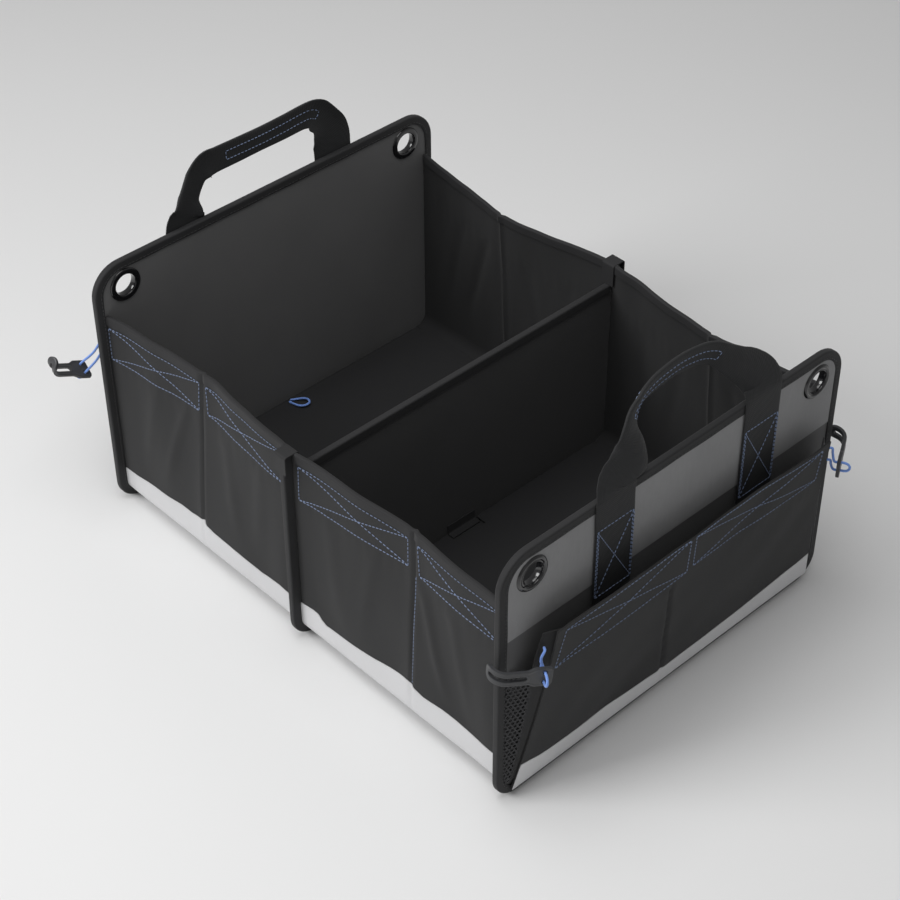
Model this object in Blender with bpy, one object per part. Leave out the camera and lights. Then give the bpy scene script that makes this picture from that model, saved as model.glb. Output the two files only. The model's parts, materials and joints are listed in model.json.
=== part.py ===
"""A collapsible storage box for a car boot: two open compartments between three stiff bound walls.

X runs along the box, from the far end (-X) to the near end (+X), Y across it and Z up.
The origin is on the floor under the middle of the box. "left" is the -Y side, "right" the +Y side.
All sizes are in metres.
"""
import math

import bmesh
import bpy
import numpy as np
from mathutils import Matrix, Vector

# Overall sizes
LENGTH = 0.580            # between the outer faces of the two bound end walls
WIDTH = 0.454             # across the bound edges of the stiff walls
END_HEIGHT = 0.298
SIDE_TOP = 0.242          # top of the side walls' cloth
DIVIDER_TOP = 0.217       # top of the bound edge in the middle
DIVIDER_LIFT = 0.0010     # the divider hangs this far off the floor; the box stands on its ends
END_TOP_RADIUS = 0.034
FOOT_RADIUS = 0.026
FOOT_BOW = 0.0004         # the end walls' lower edges bow up this much, so they stand on their ends

# Sheet thicknesses and sewing
GAP = 0.0003              # between sewn or touching pieces
BOARD = 0.0045            # covered stiffener board
TAPE = 0.0012             # binding tape
CLOTH = 0.0020            # doubled side cloth
FACING = 0.0008           # thin facing cloth and reflective strip
FIN = 0.0100              # how far the bound edges stand out past the side cloth
SEAM_ROOM = 0.0005        # between the tape's inner edge and the side cloth
SIDE_TAPE_DROP = 0.0095   # binding over the side walls' top edge
EAR_LAP = 0.0020          # how far the divider's ears reach in past the side cloth
TAB_WIDTH = 0.016
TAB_DROP = 0.020

# Side walls
SIDE_FOLD = 0.0100        # how far the middle seam leans in at the top
STRIP_LOW = 0.031         # reflective strip at a quarter panel's middle
STRIP_HIGH = 0.046        # reflective strip at the middle seam
STRIP_END = 0.037         # reflective strip at the bound edges

# Floor boards
FLOOR_BOARD = 0.0040
FLOOR_SIDE_ROOM = 0.0010  # left between the leaning side wall and the board as it lifts
FLOOR_END_ROOM = 0.0055
HINGE_ROOM = 0.0010       # between the divider's top binding and a board that is lifted
FLOOR_CORNER = 0.016
NOTCH_WIDTH = 0.042
NOTCH_DEPTH = 0.0135
HINGE_TAB_WIDTH = 0.038
HINGE_TAB_REACH = 0.0095
HINGE_TAB_RISE = 0.012
HINGE_TAB = 0.0015

# End pockets
POCKET_TOP = 0.215
POCKET_FOOT = 0.006
POCKET_REACH = 0.027      # how far the mouth stands off the wall
POCKET_FOOT_INSET = 0.0160
POCKET_TOP_INSET = 0.0430
GUSSET = 0.0015
GUSSET_FOOT = 0.022
GUSSET_TOP = 0.205        # at the wall
GUSSET_DROP = 0.004       # below the pocket's rim, at the front
GUSSET_WALL_INSET = 0.0080
FACE_FOOT = 0.203         # lower edge of the light facing on the end walls
POCKET_STRIP_END = 0.036
POCKET_STRIP_MIDDLE = 0.025

# Eyelets
EYELET_BORE = 0.0120      # radius
EYELET_BARREL = 0.0015
EYELET_FLANGE = 0.0185    # radius
EYELET_RIM = 0.0022
EYELET_WASHER = 0.0014
EYELET_DROP = 0.030
EYELET_INSET = 0.038

# Webbing handles
WEBBING = 0.050
WEBBING_THICK = 0.0022
GRIP = 0.027              # webbing folded lengthwise and stitched
GRIP_THICK = 0.0046
HANDLE_FOOT = 0.180
CREASE = 0.0015           # over the wall's top the webbing stands straight up to here, then leans
NEAR_LEAN = math.radians(28)    # the near handle flops in over the box
FAR_LEAN = math.radians(-3)
# Each handle lies as in the photo: (y, height above the wall's top along the webbing, width), foot to foot
NEAR_ROWS = ((-0.090, 0.0015, 0.050), (-0.081, 0.0130, 0.044), (-0.069, 0.0230, 0.039), (-0.051, 0.0385, 0.033),
             (-0.037, 0.0480, 0.029), (-0.022, 0.0545, 0.027), (-0.006, 0.0590, 0.027), (0.010, 0.0607, 0.027),
             (0.026, 0.0600, 0.027), (0.042, 0.0570, 0.027), (0.056, 0.0520, 0.027), (0.069, 0.0450, 0.028),
             (0.081, 0.0345, 0.032), (0.093, 0.0220, 0.040), (0.101, 0.0130, 0.047), (0.107, 0.0015, 0.050))
FAR_ROWS = ((-0.105, 0.0015, 0.049), (-0.101, 0.0130, 0.038), (-0.0955, 0.0260, 0.026), (-0.087, 0.0410, 0.026),
            (-0.074, 0.0520, 0.029), (-0.060, 0.0542, 0.029), (-0.030, 0.0535, 0.028), (0.000, 0.0530, 0.027),
            (0.030, 0.0538, 0.028), (0.052, 0.0548, 0.029), (0.068, 0.0520, 0.031), (0.079, 0.0425, 0.036),
            (0.087, 0.0300, 0.045), (0.091, 0.0170, 0.050), (0.092, 0.0015, 0.050))

# Hooks on elastic cords
HOOK_BODY = 0.040
HOOK_BEND_RADIUS = 0.0145
HOOK_BEND = math.radians(105)
HOOK_TALL = 0.021
HOOK_TIP_TALL = 0.015
HOOK_THICK = 0.0035
HOOK_SLOT = 0.0052
HOOK_HOLE = 0.0022        # radius
HOOK_HOLE_SPACING = 0.0110
HOOK_HOLE_INSET = 0.0085
CORD = 0.0025             # diameter of elastic cords and pull loops
CORD_SEAT = 0.0005        # from a sewn cord's end to its cloth
CORD_LIFT = 0.0050        # how far a sewn cord stands out before it bends
CORD_STRAIGHT = 0.0050    # run of the cord before and after a hook's plate
ELASTIC_HIGH = 0.93       # where the two strands are sewn, as shares of the gusset's height
ELASTIC_LOW = 0.84
ELASTIC_ACROSS = 0.80     # and of its width

# Worked out from the sizes above
HALF_LENGTH = LENGTH / 2
HALF_WIDTH = WIDTH / 2
TAPE_LAP = FIN - SEAM_ROOM
EDGE_INSET = TAPE + GAP
BOARD_OUT = HALF_LENGTH - EDGE_INSET
BOARD_IN = BOARD_OUT - BOARD
TAPE_IN = BOARD_IN - EDGE_INSET
SIDE_OUT = HALF_WIDTH - FIN
SIDE_IN = SIDE_OUT - CLOTH
EAR_IN = SIDE_IN - EAR_LAP
DIVIDER_HALF = BOARD / 2
DIVIDER_TAPE_OUT = DIVIDER_HALF + EDGE_INSET
BASE_BOTTOM = TAPE_LAP + FOOT_BOW + GAP
BASE_TOP = BASE_BOTTOM + CLOTH
BOARD_BOTTOM = BASE_TOP + GAP
BOARD_TOP = BOARD_BOTTOM + FLOOR_BOARD
HINGE_X = DIVIDER_TAPE_OUT + HINGE_ROOM
BAY_START = DIVIDER_TAPE_OUT + GAP
BAY_END = BOARD_IN - GAP
BAY_MIDDLE = (BAY_START + BAY_END) / 2
FACE_OUT = BOARD_OUT + GAP + FACING

MATERIALS = {
    "charcoal_cloth": ((0.022, 0.022, 0.024), 0.88, 0.0),
    "light_cloth": ((0.105, 0.106, 0.110), 0.85, 0.0),
    "black_tape": ((0.010, 0.010, 0.011), 0.80, 0.0),
    "reflective_cloth": ((0.56, 0.56, 0.57), 0.45, 0.0),
    "black_webbing": ((0.012, 0.012, 0.013), 0.82, 0.0),
    "black_mesh": ((0.014, 0.014, 0.015), 0.85, 0.0),
    "covered_board": ((0.016, 0.016, 0.018), 0.90, 0.0),
    "eyelet_black": ((0.008, 0.008, 0.009), 0.22, 0.0),
    "hook_plastic": ((0.040, 0.041, 0.044), 0.48, 0.0),
    "blue_elastic": ((0.180, 0.330, 0.800), 0.60, 0.0),
}


def clear_scene():
    """Remove whatever objects the scene starts with."""
    for thing in list(bpy.data.objects):
        bpy.data.objects.remove(thing, do_unlink=True)


def get_material(name):
    """A Principled material with the colour, roughness and metallic value listed for its name."""
    found = bpy.data.materials.get(name)
    if found:
        return found
    colour, roughness, metallic = MATERIALS[name]
    made = bpy.data.materials.new(name)
    made.use_nodes = True
    shader = made.node_tree.nodes["Principled BSDF"]
    shader.inputs["Base Color"].default_value = (*colour, 1.0)
    shader.inputs["Roughness"].default_value = roughness
    shader.inputs["Metallic"].default_value = metallic
    made.diffuse_color = (*colour, 1.0)
    return made


def finish_mesh(name, shape, material, smooth=False):
    """Turn a bmesh into a named object with outward faces."""
    bmesh.ops.recalc_face_normals(shape, faces=shape.faces)
    if shape.calc_volume(signed=True) < 0:
        bmesh.ops.reverse_faces(shape, faces=shape.faces)
    mesh = bpy.data.meshes.new(name)
    shape.to_mesh(mesh)
    shape.free()
    if smooth:
        mesh.shade_smooth()
        mesh.set_sharp_from_angle(angle=math.radians(35))
    made = bpy.data.objects.new(name, mesh)
    mesh.materials.append(get_material(material))
    bpy.context.scene.collection.objects.link(made)
    return made


def loft(name, rings, material, closed=False, smooth=False):
    """Join equal rings of points into one solid, capped at both ends or closed into a loop."""
    shape = bmesh.new()
    rows = [[shape.verts.new(point) for point in ring] for ring in rings]
    count = len(rows[0])
    pairs = list(zip(rows, rows[1:]))
    if closed:
        pairs.append((rows[-1], rows[0]))
    for one, two in pairs:
        for i in range(count):
            j = (i + 1) % count
            shape.faces.new((one[i], one[j], two[j], two[i]))
    if not closed:
        shape.faces.new(rows[0])
        shape.faces.new(list(reversed(rows[-1])))
    return finish_mesh(name, shape, material, smooth)


def slab(name, outer, inner, material, smooth=False):
    """A sheet with thickness, from two grids of points with the same rows and columns."""
    rings = []
    for out_row, in_row in zip(outer, inner):
        rings.append(list(out_row) + list(reversed(in_row)))
    return loft(name, rings, material, smooth=smooth)


def box(name, low, high, material):
    """A plain block between two corners."""
    section = [(low[0], low[1]), (high[0], low[1]), (high[0], high[1]), (low[0], high[1])]
    return loft(name, [[(x, y, z) for x, y in section] for z in (low[2], high[2])], material)


def arc(centre, radius, start, end, steps):
    """Points on an arc in a plane, both ends included; angles in degrees."""
    turn = np.radians(np.linspace(start, end, steps + 1))
    return [(centre[0] + radius * math.cos(a), centre[1] + radius * math.sin(a)) for a in turn]


def wall_outline(inset, top=END_HEIGHT, steps=6):
    """(y, z) round a stiff wall with round corners, from the top right, drawn in by inset."""
    side = HALF_WIDTH - inset
    high = top - inset
    top_r = END_TOP_RADIUS - inset
    foot_r = FOOT_RADIUS - inset
    points = arc((side - top_r, high - top_r), top_r, 0, 90, steps)
    points += arc((-side + top_r, high - top_r), top_r, 90, 180, steps)
    points += arc((-side + foot_r, inset + foot_r), foot_r, 180, 270, steps)
    points.append((0.0, inset + FOOT_BOW))
    points += arc((side - foot_r, inset + foot_r), foot_r, 270, 360, steps)
    return points


def foot_outline(inset, steps=6):
    """(y, z) down a bound edge, round the foot, along the bottom and up the other side."""
    side = HALF_WIDTH - inset
    foot_r = FOOT_RADIUS - inset
    knee = DIVIDER_LIFT + FOOT_RADIUS
    points = [(-side, SIDE_TOP)]
    points += arc((-side + foot_r, knee), foot_r, 180, 270, steps)
    points += arc((side - foot_r, knee), foot_r, 270, 360, steps)
    points.append((side, SIDE_TOP))
    return points


def channel_rings(outline, x_one, x_two):
    """Rings of a folded tape's U section along an outline(inset) of (y, z) points."""
    edge, fold, lap = outline(0.0), outline(TAPE), outline(TAPE_LAP)
    rings = []
    for e, f, l in zip(edge, fold, lap):
        rings.append([(x_one, *e), (x_two, *e), (x_two, *l), (x_two - TAPE, *l),
                      (x_two - TAPE, *f), (x_one + TAPE, *f), (x_one + TAPE, *l), (x_one, *l)])
    return rings


def mirrored(points, sign_x=1, sign_y=1):
    """The same points on the other end or side of the box."""
    return [(sign_x * x, sign_y * y, z) for x, y, z in points]


def cutter(name, radius, x_low, x_high, y, z):
    """A hidden rod along X, for a round hole."""
    ring = arc((y, z), radius, 0, 345, 23)
    rod = loft(name, [[(x, *p) for p in ring] for x in (x_low, x_high)], "eyelet_black")
    rod.hide_render = True
    rod.display_type = "WIRE"
    return rod


def cut(body, tool):
    """Take one solid out of another, kept as a live Boolean modifier."""
    change = body.modifiers.new(tool.name, "BOOLEAN")
    change.operation = "DIFFERENCE"
    change.object = tool


def eyelet_places():
    """(y, z) of the two eyelets of an end wall."""
    return [(side, side * (HALF_WIDTH - EYELET_INSET), END_HEIGHT - EYELET_DROP) for side in (-1, 1)]


def side_name(sign_y):
    return "left" if sign_y < 0 else "right"


def end_name(sign_x):
    return "near" if sign_x > 0 else "far"


def fold_in(x, z):
    """How far a side wall leans in at a place: a straight V from its ends to its middle seam."""
    along = 1 - abs(abs(x) - BAY_MIDDLE) / (BAY_MIDDLE - BAY_START)
    return SIDE_FOLD * along * max(0.0, z - FOOT_RADIUS) / (SIDE_TOP - FOOT_RADIUS)


def side_point(x, y, z, sign_x, sign_y):
    """A point of a side wall's pieces, leaned in with the cloth, on the asked end and side."""
    return (sign_x * x, sign_y * (y - fold_in(x, z)), z)


def end_wall(sign):
    """Stiff end wall, its light facing, the tape round its edge and its two eyelets."""
    end = end_name(sign)
    rings = [mirrored([(x, *p) for p in wall_outline(EDGE_INSET)], sign) for x in (BOARD_IN, BOARD_OUT)]
    board = loft(f"end_wall_{end}", rings, "charcoal_cloth")

    face_inset = TAPE_LAP + GAP
    upper = [p for p in wall_outline(face_inset) if p[1] > FACE_FOOT]
    side = HALF_WIDTH - face_inset
    outline = upper + [(-side, FACE_FOOT), (side, FACE_FOOT)]
    rings = [mirrored([(x, *p) for p in outline], sign) for x in (BOARD_OUT + GAP, FACE_OUT)]
    facing = loft(f"end_facing_{end}", rings, "light_cloth")

    rings = [mirrored(ring, sign) for ring in channel_rings(wall_outline, TAPE_IN, HALF_LENGTH)]
    loft(f"end_binding_{end}", rings, "black_tape", closed=True, smooth=True)

    for sign_y, y, z in eyelet_places():
        barrel = EYELET_BORE + EYELET_BARREL
        reach = sorted((sign * (BOARD_IN - 0.01), sign * (HALF_LENGTH + 0.01)))
        hole = cutter(f"eyelet_cutter_{end}_{side_name(sign_y)}", barrel + GAP, *reach, y, z)
        cut(board, hole)
        cut(facing, hole)
        eyelet(f"eyelet_{end}_{side_name(sign_y)}", sign, y, z)


def eyelet(name, sign, y, z, steps=22):
    """A turned eyelet pressed through the wall, with a domed rim outside and a washer inside."""
    barrel = EYELET_BORE + EYELET_BARREL
    front, back = FACE_OUT + GAP, BOARD_IN - GAP
    dome = front + EYELET_RIM
    heel = back - EYELET_WASHER
    profile = [(EYELET_BORE, heel + 0.0006), (EYELET_BORE, dome - 0.0010),
               (EYELET_BORE + 0.0014, dome), (EYELET_FLANGE - 0.0022, dome - 0.0003),
               (EYELET_FLANGE, front + 0.0005), (EYELET_FLANGE, front), (barrel, front),
               (barrel, back), (EYELET_FLANGE, back), (EYELET_FLANGE - 0.0010, heel),
               (EYELET_BORE + 0.0008, heel)]
    rings = []
    for turn in np.linspace(0, 2 * math.pi, steps, endpoint=False):
        rings.append([(sign * x, y + r * math.cos(turn), z + r * math.sin(turn)) for r, x in profile])
    loft(name, rings, "eyelet_black", closed=True, smooth=True)


def divider():
    """Middle wall with its two upright ears, the tape round its outer edge and over its top."""
    outer = foot_outline(EDGE_INSET)
    top = DIVIDER_TOP - EDGE_INSET
    outline = outer + [(EAR_IN, SIDE_TOP), (EAR_IN, top), (-EAR_IN, top), (-EAR_IN, SIDE_TOP)]
    rings = [[(x, *p) for p in outline] for x in (-DIVIDER_HALF, DIVIDER_HALF)]
    loft("divider_wall", rings, "charcoal_cloth")
    loft("divider_edge_binding", channel_rings(foot_outline, -DIVIDER_TAPE_OUT, DIVIDER_TAPE_OUT),
         "black_tape", smooth=True)

    def straight(inset):
        return [(-EAR_IN + GAP, DIVIDER_TOP - inset), (EAR_IN - GAP, DIVIDER_TOP - inset)]

    loft("divider_top_binding", channel_rings(straight, -DIVIDER_TAPE_OUT, DIVIDER_TAPE_OUT), "black_tape")


def centre_tab(sign_y):
    """Tape folded over the top of a side wall at the divider, from the bound edge to the inside."""
    out = HALF_WIDTH + GAP
    inside = EAR_IN - GAP
    under = SIDE_TOP + GAP
    section = [(out + TAPE, SIDE_TOP - TAB_DROP), (out + TAPE, under + TAPE), (inside - TAPE, under + TAPE),
               (inside - TAPE, DIVIDER_TOP + GAP), (inside, DIVIDER_TOP + GAP), (inside, under),
               (out, under), (out, SIDE_TOP - TAB_DROP)]
    rings = [[(x, sign_y * y, z) for y, z in section] for x in (-TAB_WIDTH / 2, TAB_WIDTH / 2)]
    loft(f"centre_tab_{side_name(sign_y)}", rings, "black_tape")


def side_section(offset, top, rows):
    """(y, z) from under the bottom corner, round it and up a side, at an offset out from the cloth."""
    radius = FOOT_RADIUS - FIN
    knee = BASE_BOTTOM + radius
    turn = arc((SIDE_OUT - radius, knee), radius + offset, -90, 0, 4)
    return turn + [(SIDE_OUT + offset, z) for z in np.linspace(knee, top, rows + 1)[1:]]


def side_wall(sign_x, sign_y):
    """One bay's side cloth, folded in at its middle seam, with its top tape and reflective strip."""
    where = f"{side_name(sign_y)}_{end_name(sign_x)}"

    def grid(offset, stations, top, rows):
        return [[side_point(x, y, z, sign_x, sign_y) for y, z in side_section(offset, top(x), rows)]
                for x in stations]

    stations = np.linspace(BAY_START, BAY_END, 13)
    slab(f"side_wall_{where}", grid(0.0, stations, lambda x: SIDE_TOP, 6),
         grid(-CLOTH, stations, lambda x: SIDE_TOP, 6), "charcoal_cloth")

    out, inside = SIDE_OUT + GAP, SIDE_IN - GAP
    low, under = SIDE_TOP - SIDE_TAPE_DROP, SIDE_TOP + GAP
    section = [(out, low), (out + TAPE, low), (out + TAPE, under + TAPE), (inside - TAPE, under + TAPE),
               (inside - TAPE, low), (inside, low), (inside, under), (out, under)]
    rings = []
    for x in (TAB_WIDTH / 2 + GAP, BAY_MIDDLE, TAPE_IN - GAP):
        rings.append([side_point(x, y, z, sign_x, sign_y) for y, z in section])
    loft(f"side_binding_{where}", rings, "black_tape")

    stations = np.linspace(BAY_START, TAPE_IN - GAP, 13)
    slab(f"reflective_strip_{where}", grid(GAP + FACING, stations, strip_top, 1),
         grid(GAP, stations, strip_top, 1), "reflective_cloth")


def strip_top(x):
    """Wavy upper edge of a side's reflective strip: high at the middle seam, low on each quarter."""
    quarter = abs(x - BAY_MIDDLE) / (BAY_END - BAY_MIDDLE)
    ends = STRIP_HIGH + (STRIP_END - STRIP_HIGH) * quarter
    return BASE_BOTTOM + ends - (ends - STRIP_LOW) * math.sin(math.pi * quarter) ** 2


def base(sign_x):
    """Cloth bottom of one bay."""
    xs = sorted((sign_x * BAY_START, sign_x * BAY_END))
    wide = HALF_WIDTH - FOOT_RADIUS - GAP
    low, high = (xs[0], -wide, BASE_BOTTOM), (xs[1], wide, BASE_TOP)
    box(f"base_cloth_{end_name(sign_x)}", low, high, "charcoal_cloth")


def floor_board(sign_x):
    """Stiff board that lies on the base and lifts about its edge at the divider."""
    end = end_name(sign_x)
    half = SIDE_IN - EDGE_INSET - SIDE_FOLD - FLOOR_SIDE_ROOM
    stop = BOARD_IN - FLOOR_END_ROOM
    r = FLOOR_CORNER
    outline = arc((stop - r, half - r), r, 0, 90, 5)
    outline += arc((HINGE_X + r, half - r), r, 90, 180, 5)
    outline += [(HINGE_X, NOTCH_WIDTH / 2), (HINGE_X + NOTCH_DEPTH, NOTCH_WIDTH / 2),
                (HINGE_X + NOTCH_DEPTH, -NOTCH_WIDTH / 2), (HINGE_X, -NOTCH_WIDTH / 2)]
    outline += arc((HINGE_X + r, -half + r), r, 180, 270, 5)
    outline += arc((stop - r, -half + r), r, 270, 360, 5)
    origin = Vector((sign_x * HINGE_X, 0, BOARD_TOP))
    rings = []
    for z in (BOARD_BOTTOM, BOARD_TOP):
        rings.append([Vector((sign_x * x, y, z)) - origin for x, y in outline])
    board = loft(f"floor_board_{end}", rings, "covered_board")
    board.location = origin

    start = DIVIDER_HALF + GAP
    foot = BASE_TOP + GAP
    section = [(start, foot), (start + HINGE_TAB_REACH, foot), (start + HINGE_TAB_REACH, foot + HINGE_TAB),
               (start + HINGE_TAB, foot + HINGE_TAB), (start + HINGE_TAB, foot + HINGE_TAB_RISE),
               (start, foot + HINGE_TAB_RISE)]
    rings = [[(sign_x * x, y, z) for x, z in section] for y in (-HINGE_TAB_WIDTH / 2, HINGE_TAB_WIDTH / 2)]
    loft(f"hinge_tab_{end}", rings, "black_tape")
    pull_loop(sign_x, stop, board)


def pull_loop(sign_x, stop, board):
    """Blue cord loop at the middle of a board's free edge, lying on the board."""
    height = BOARD_TOP + GAP + CORD / 2
    route = [(stop - 0.004, -0.0016, height), (stop - 0.010, -0.0042, height + 0.0002),
             (stop - 0.017, -0.0066, height + 0.0010), (stop - 0.0235, -0.0056, height + 0.0018),
             (stop - 0.0270, 0.0, height + 0.0022), (stop - 0.0235, 0.0056, height + 0.0018),
             (stop - 0.017, 0.0066, height + 0.0010), (stop - 0.010, 0.0042, height + 0.0002),
             (stop - 0.004, 0.0016, height)]
    turned = Matrix.Rotation(math.radians(-32), 4, "Z")
    pivot = Vector((stop - 0.004, 0, 0))
    points = []
    for point in route:
        x, y, z = turned @ (Vector(point) - pivot) + pivot
        points.append((sign_x * x, -sign_x * y, z))
    loop = cord(f"pull_loop_{end_name(sign_x)}", points)
    loop.parent = board
    loop.location = -board.location


def smooth_route(points, spacing):
    """Points read at even steps from a Catmull-Rom curve through the route's own points."""
    p = np.array(points, float)
    padded = np.vstack([2 * p[0] - p[1], p, 2 * p[-1] - p[-2]])
    dense = []
    for i in range(len(p) - 1):
        a, b, c, d = padded[i:i + 4]
        for t in np.linspace(0, 1, 24, endpoint=False):
            dense.append(0.5 * (2 * b + (c - a) * t + (2 * a - 5 * b + 4 * c - d) * t ** 2
                                + (3 * b - a - 3 * c + d) * t ** 3))
    dense = np.array(dense + [p[-1]])
    run = np.concatenate([[0], np.cumsum(np.linalg.norm(np.diff(dense, axis=0), axis=1))])
    count = max(4, round(run[-1] / spacing))
    even = np.linspace(0, run[-1], count + 1)
    return np.column_stack([np.interp(even, run, dense[:, k]) for k in range(3)])


def cord(name, route, diameter=CORD):
    """A round cord along a smooth route, with closed ends."""
    points = smooth_route(route, 1.6 * diameter)
    curve = bpy.data.curves.new(name, "CURVE")
    curve.dimensions = "3D"
    curve.bevel_depth = diameter / 2
    curve.bevel_resolution = 2
    curve.use_fill_caps = True
    spline = curve.splines.new("POLY")
    spline.points.add(len(points) - 1)
    for slot, point in zip(spline.points, points):
        slot.co = (*point, 1.0)
    made = bpy.data.objects.new(name, curve)
    curve.materials.append(get_material("blue_elastic"))
    bpy.context.scene.collection.objects.link(made)
    return made


def pocket_plane(z):
    """x of the pocket front's inner face at a height."""
    share = (z - POCKET_FOOT) / (POCKET_TOP - POCKET_FOOT)
    return HALF_LENGTH + GAP + (POCKET_REACH - GAP) * share


def pocket_edge(z):
    """Half the pocket front's width at a height."""
    share = (z - POCKET_FOOT) / (POCKET_TOP - POCKET_FOOT)
    return HALF_WIDTH - (POCKET_FOOT_INSET + (POCKET_TOP_INSET - POCKET_FOOT_INSET) * share)


def gusset_wall_z(share):
    return GUSSET_FOOT + (GUSSET_TOP - GUSSET_FOOT) * share


def gusset_front_z(share):
    return GUSSET_FOOT + (POCKET_TOP - GUSSET_DROP - GUSSET_FOOT) * share


def pocket(sign_x):
    """Leaning pocket front with its reflective strip, and a mesh gusset at each side."""
    end = end_name(sign_x)
    heights = (POCKET_FOOT, POCKET_TOP)

    def grid(offset):
        return [[(sign_x * (pocket_plane(z) + offset), s * pocket_edge(z), z) for z in heights]
                for s in (-1, 1)]

    slab(f"pocket_front_{end}", grid(CLOTH), grid(0.0), "charcoal_cloth")

    outer, inner = [], []
    for share in np.linspace(-1, 1, 13):
        top = POCKET_FOOT + POCKET_STRIP_MIDDLE + (POCKET_STRIP_END - POCKET_STRIP_MIDDLE) * share ** 2
        for rows, offset in ((outer, CLOTH + GAP + FACING), (inner, CLOTH + GAP)):
            rows.append([(sign_x * (pocket_plane(z) + offset), share * pocket_edge(z), z)
                         for z in (POCKET_FOOT, top)])
    slab(f"pocket_strip_{end}", outer, inner, "reflective_cloth")

    for sign_y in (-1, 1):
        outer, inner = [], []
        wall_y = HALF_WIDTH - GUSSET_WALL_INSET
        for share in np.linspace(0, 1, 5):
            wall_z, front_z = gusset_wall_z(share), gusset_front_z(share)
            front_x = pocket_plane(front_z) - GAP
            front_y = pocket_edge(front_z) - GAP
            for rows, step in ((outer, 0.0), (inner, GUSSET)):
                rows.append([(sign_x * (HALF_LENGTH + GAP), sign_y * (wall_y - step), wall_z),
                             (sign_x * front_x, sign_y * (front_y - step), front_z)])
        slab(f"pocket_gusset_{end}_{side_name(sign_y)}", outer, inner, "black_mesh")


def handle(sign_x, rows, lean):
    """Webbing handle: two straps sewn to the wall's outer face, and a folded grip between them.

    The webbing is laid out flat as (y, height above the wall's top), then everything above the crease is
    leaned over the box by the angle `lean`.
    """
    rows = np.array([(rows[0][0], HANDLE_FOOT - END_HEIGHT, WEBBING), *rows,
                     (rows[-1][0], HANDLE_FOOT - END_HEIGHT, WEBBING)])
    tangent = np.gradient(rows[:, :2], axis=0)
    tangent[:2] = (0.0, 1.0)
    tangent[-2:] = (0.0, -1.0)
    tangent /= np.linalg.norm(tangent, axis=1)[:, None]
    folded = np.clip((WEBBING - rows[:, 2]) / (WEBBING - GRIP), 0, 1)
    thick = WEBBING_THICK + (GRIP_THICK - WEBBING_THICK) * folded
    rings = []
    for (y, rise, width), (along_y, along_z), depth in zip(rows, tangent, thick):
        turn = lean if rise > CREASE else 0.0
        ring = []
        for level, side in ((0.0, -1), (0.0, 1), (depth, 1), (depth, -1)):
            reach = side * width / 2
            height = rise - reach * along_y
            if rise > CREASE:
                height = max(height, 2 * CREASE)
            leaned = max(height - CREASE, 0.0)
            x = HALF_LENGTH + GAP - leaned * math.sin(turn) + level * math.cos(turn)
            z = END_HEIGHT + height - leaned * (1 - math.cos(turn)) + level * math.sin(turn)
            ring.append((sign_x * x, y + reach * along_z, z))
        rings.append(ring)
    loft(f"handle_{end_name(sign_x)}", rings, "black_webbing")


def hook_mesh(name):
    """Flat hook with a slot and two cord holes, bent round at its tip; the cord end is at the origin."""
    bend_length = HOOK_BEND_RADIUS * HOOK_BEND
    whole = HOOK_BODY + bend_length
    tip = HOOK_TIP_TALL / 2
    tall = HOOK_TALL / 2
    outline = [(0.0, -tall + 0.002), (0.002, -tall), (0.017, -tall), (0.0195, -tall + 0.003), (0.022, -tip)]
    outline += arc((whole - tip, 0.0), tip, -90, 90, 8)
    outline += [(0.022, tip), (0.0195, tall - 0.003), (0.017, tall), (0.002, tall), (0.0, tall - 0.002)]
    half = HOOK_THICK / 2
    blank = loft(name, [[(u, w, v) for u, v in outline] for w in (-half, half)], "hook_plastic")

    slot_start, slot_end = 0.024, whole - 0.0065
    r = HOOK_SLOT / 2
    slot = arc((slot_start + r, 0.0), r, 90, 270, 5) + arc((slot_end - r, 0.0), r, -90, 90, 5)
    tools = [loft(name + "_slot_cutter", [[(u, w, v) for u, v in slot] for w in (-2 * half, 2 * half)],
                  "hook_plastic")]
    for s in (-1, 1):
        ring = arc((HOOK_HOLE_INSET, s * HOOK_HOLE_SPACING / 2), HOOK_HOLE, 0, 330, 11)
        rod = [[(u, w, v) for u, v in ring] for w in (-2 * half, 2 * half)]
        tools.append(loft(f"{name}_hole_cutter_{s}", rod, "hook_plastic"))
    for tool in tools:
        cut(blank, tool)
    bpy.context.view_layer.update()
    baked = bpy.data.meshes.new_from_object(blank.evaluated_get(bpy.context.evaluated_depsgraph_get()))
    for thing in (blank, *tools):
        bpy.data.objects.remove(thing, do_unlink=True)

    shape = bmesh.new()
    shape.from_mesh(baked)
    bmesh.ops.triangulate(shape, faces=shape.faces)
    for step in np.linspace(HOOK_BODY, whole - 0.001, 8):
        parts = list(shape.verts) + list(shape.edges) + list(shape.faces)
        bmesh.ops.bisect_plane(shape, geom=parts, dist=1e-7, plane_co=(step, 0, 0), plane_no=(1, 0, 0))
    bmesh.ops.remove_doubles(shape, verts=shape.verts, dist=1e-6)
    for vert in shape.verts:
        u, w, v = vert.co
        if u > HOOK_BODY:
            turn = (u - HOOK_BODY) / HOOK_BEND_RADIUS
            reach = HOOK_BEND_RADIUS + w
            vert.co = (HOOK_BODY + reach * math.sin(turn), w - reach * (1 - math.cos(turn)), v)
    bmesh.ops.triangulate(shape, faces=shape.faces)
    return shape


# Where a hook's cord end is, which way its plate runs and which way is up along its edge, for the
# near left corner. A tucked hook goes round the bound edge; the flung one hangs free beside it.
TUCKED = ((0.3240, -0.1943, 0.1735), (-0.497, -0.862, 0.100), (0.0, 0.0, 1.0))
FLUNG = ((0.3020, -0.2339, 0.1746), (-0.028, -0.889, 0.457), (0.907, 0.170, 0.385))
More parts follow.
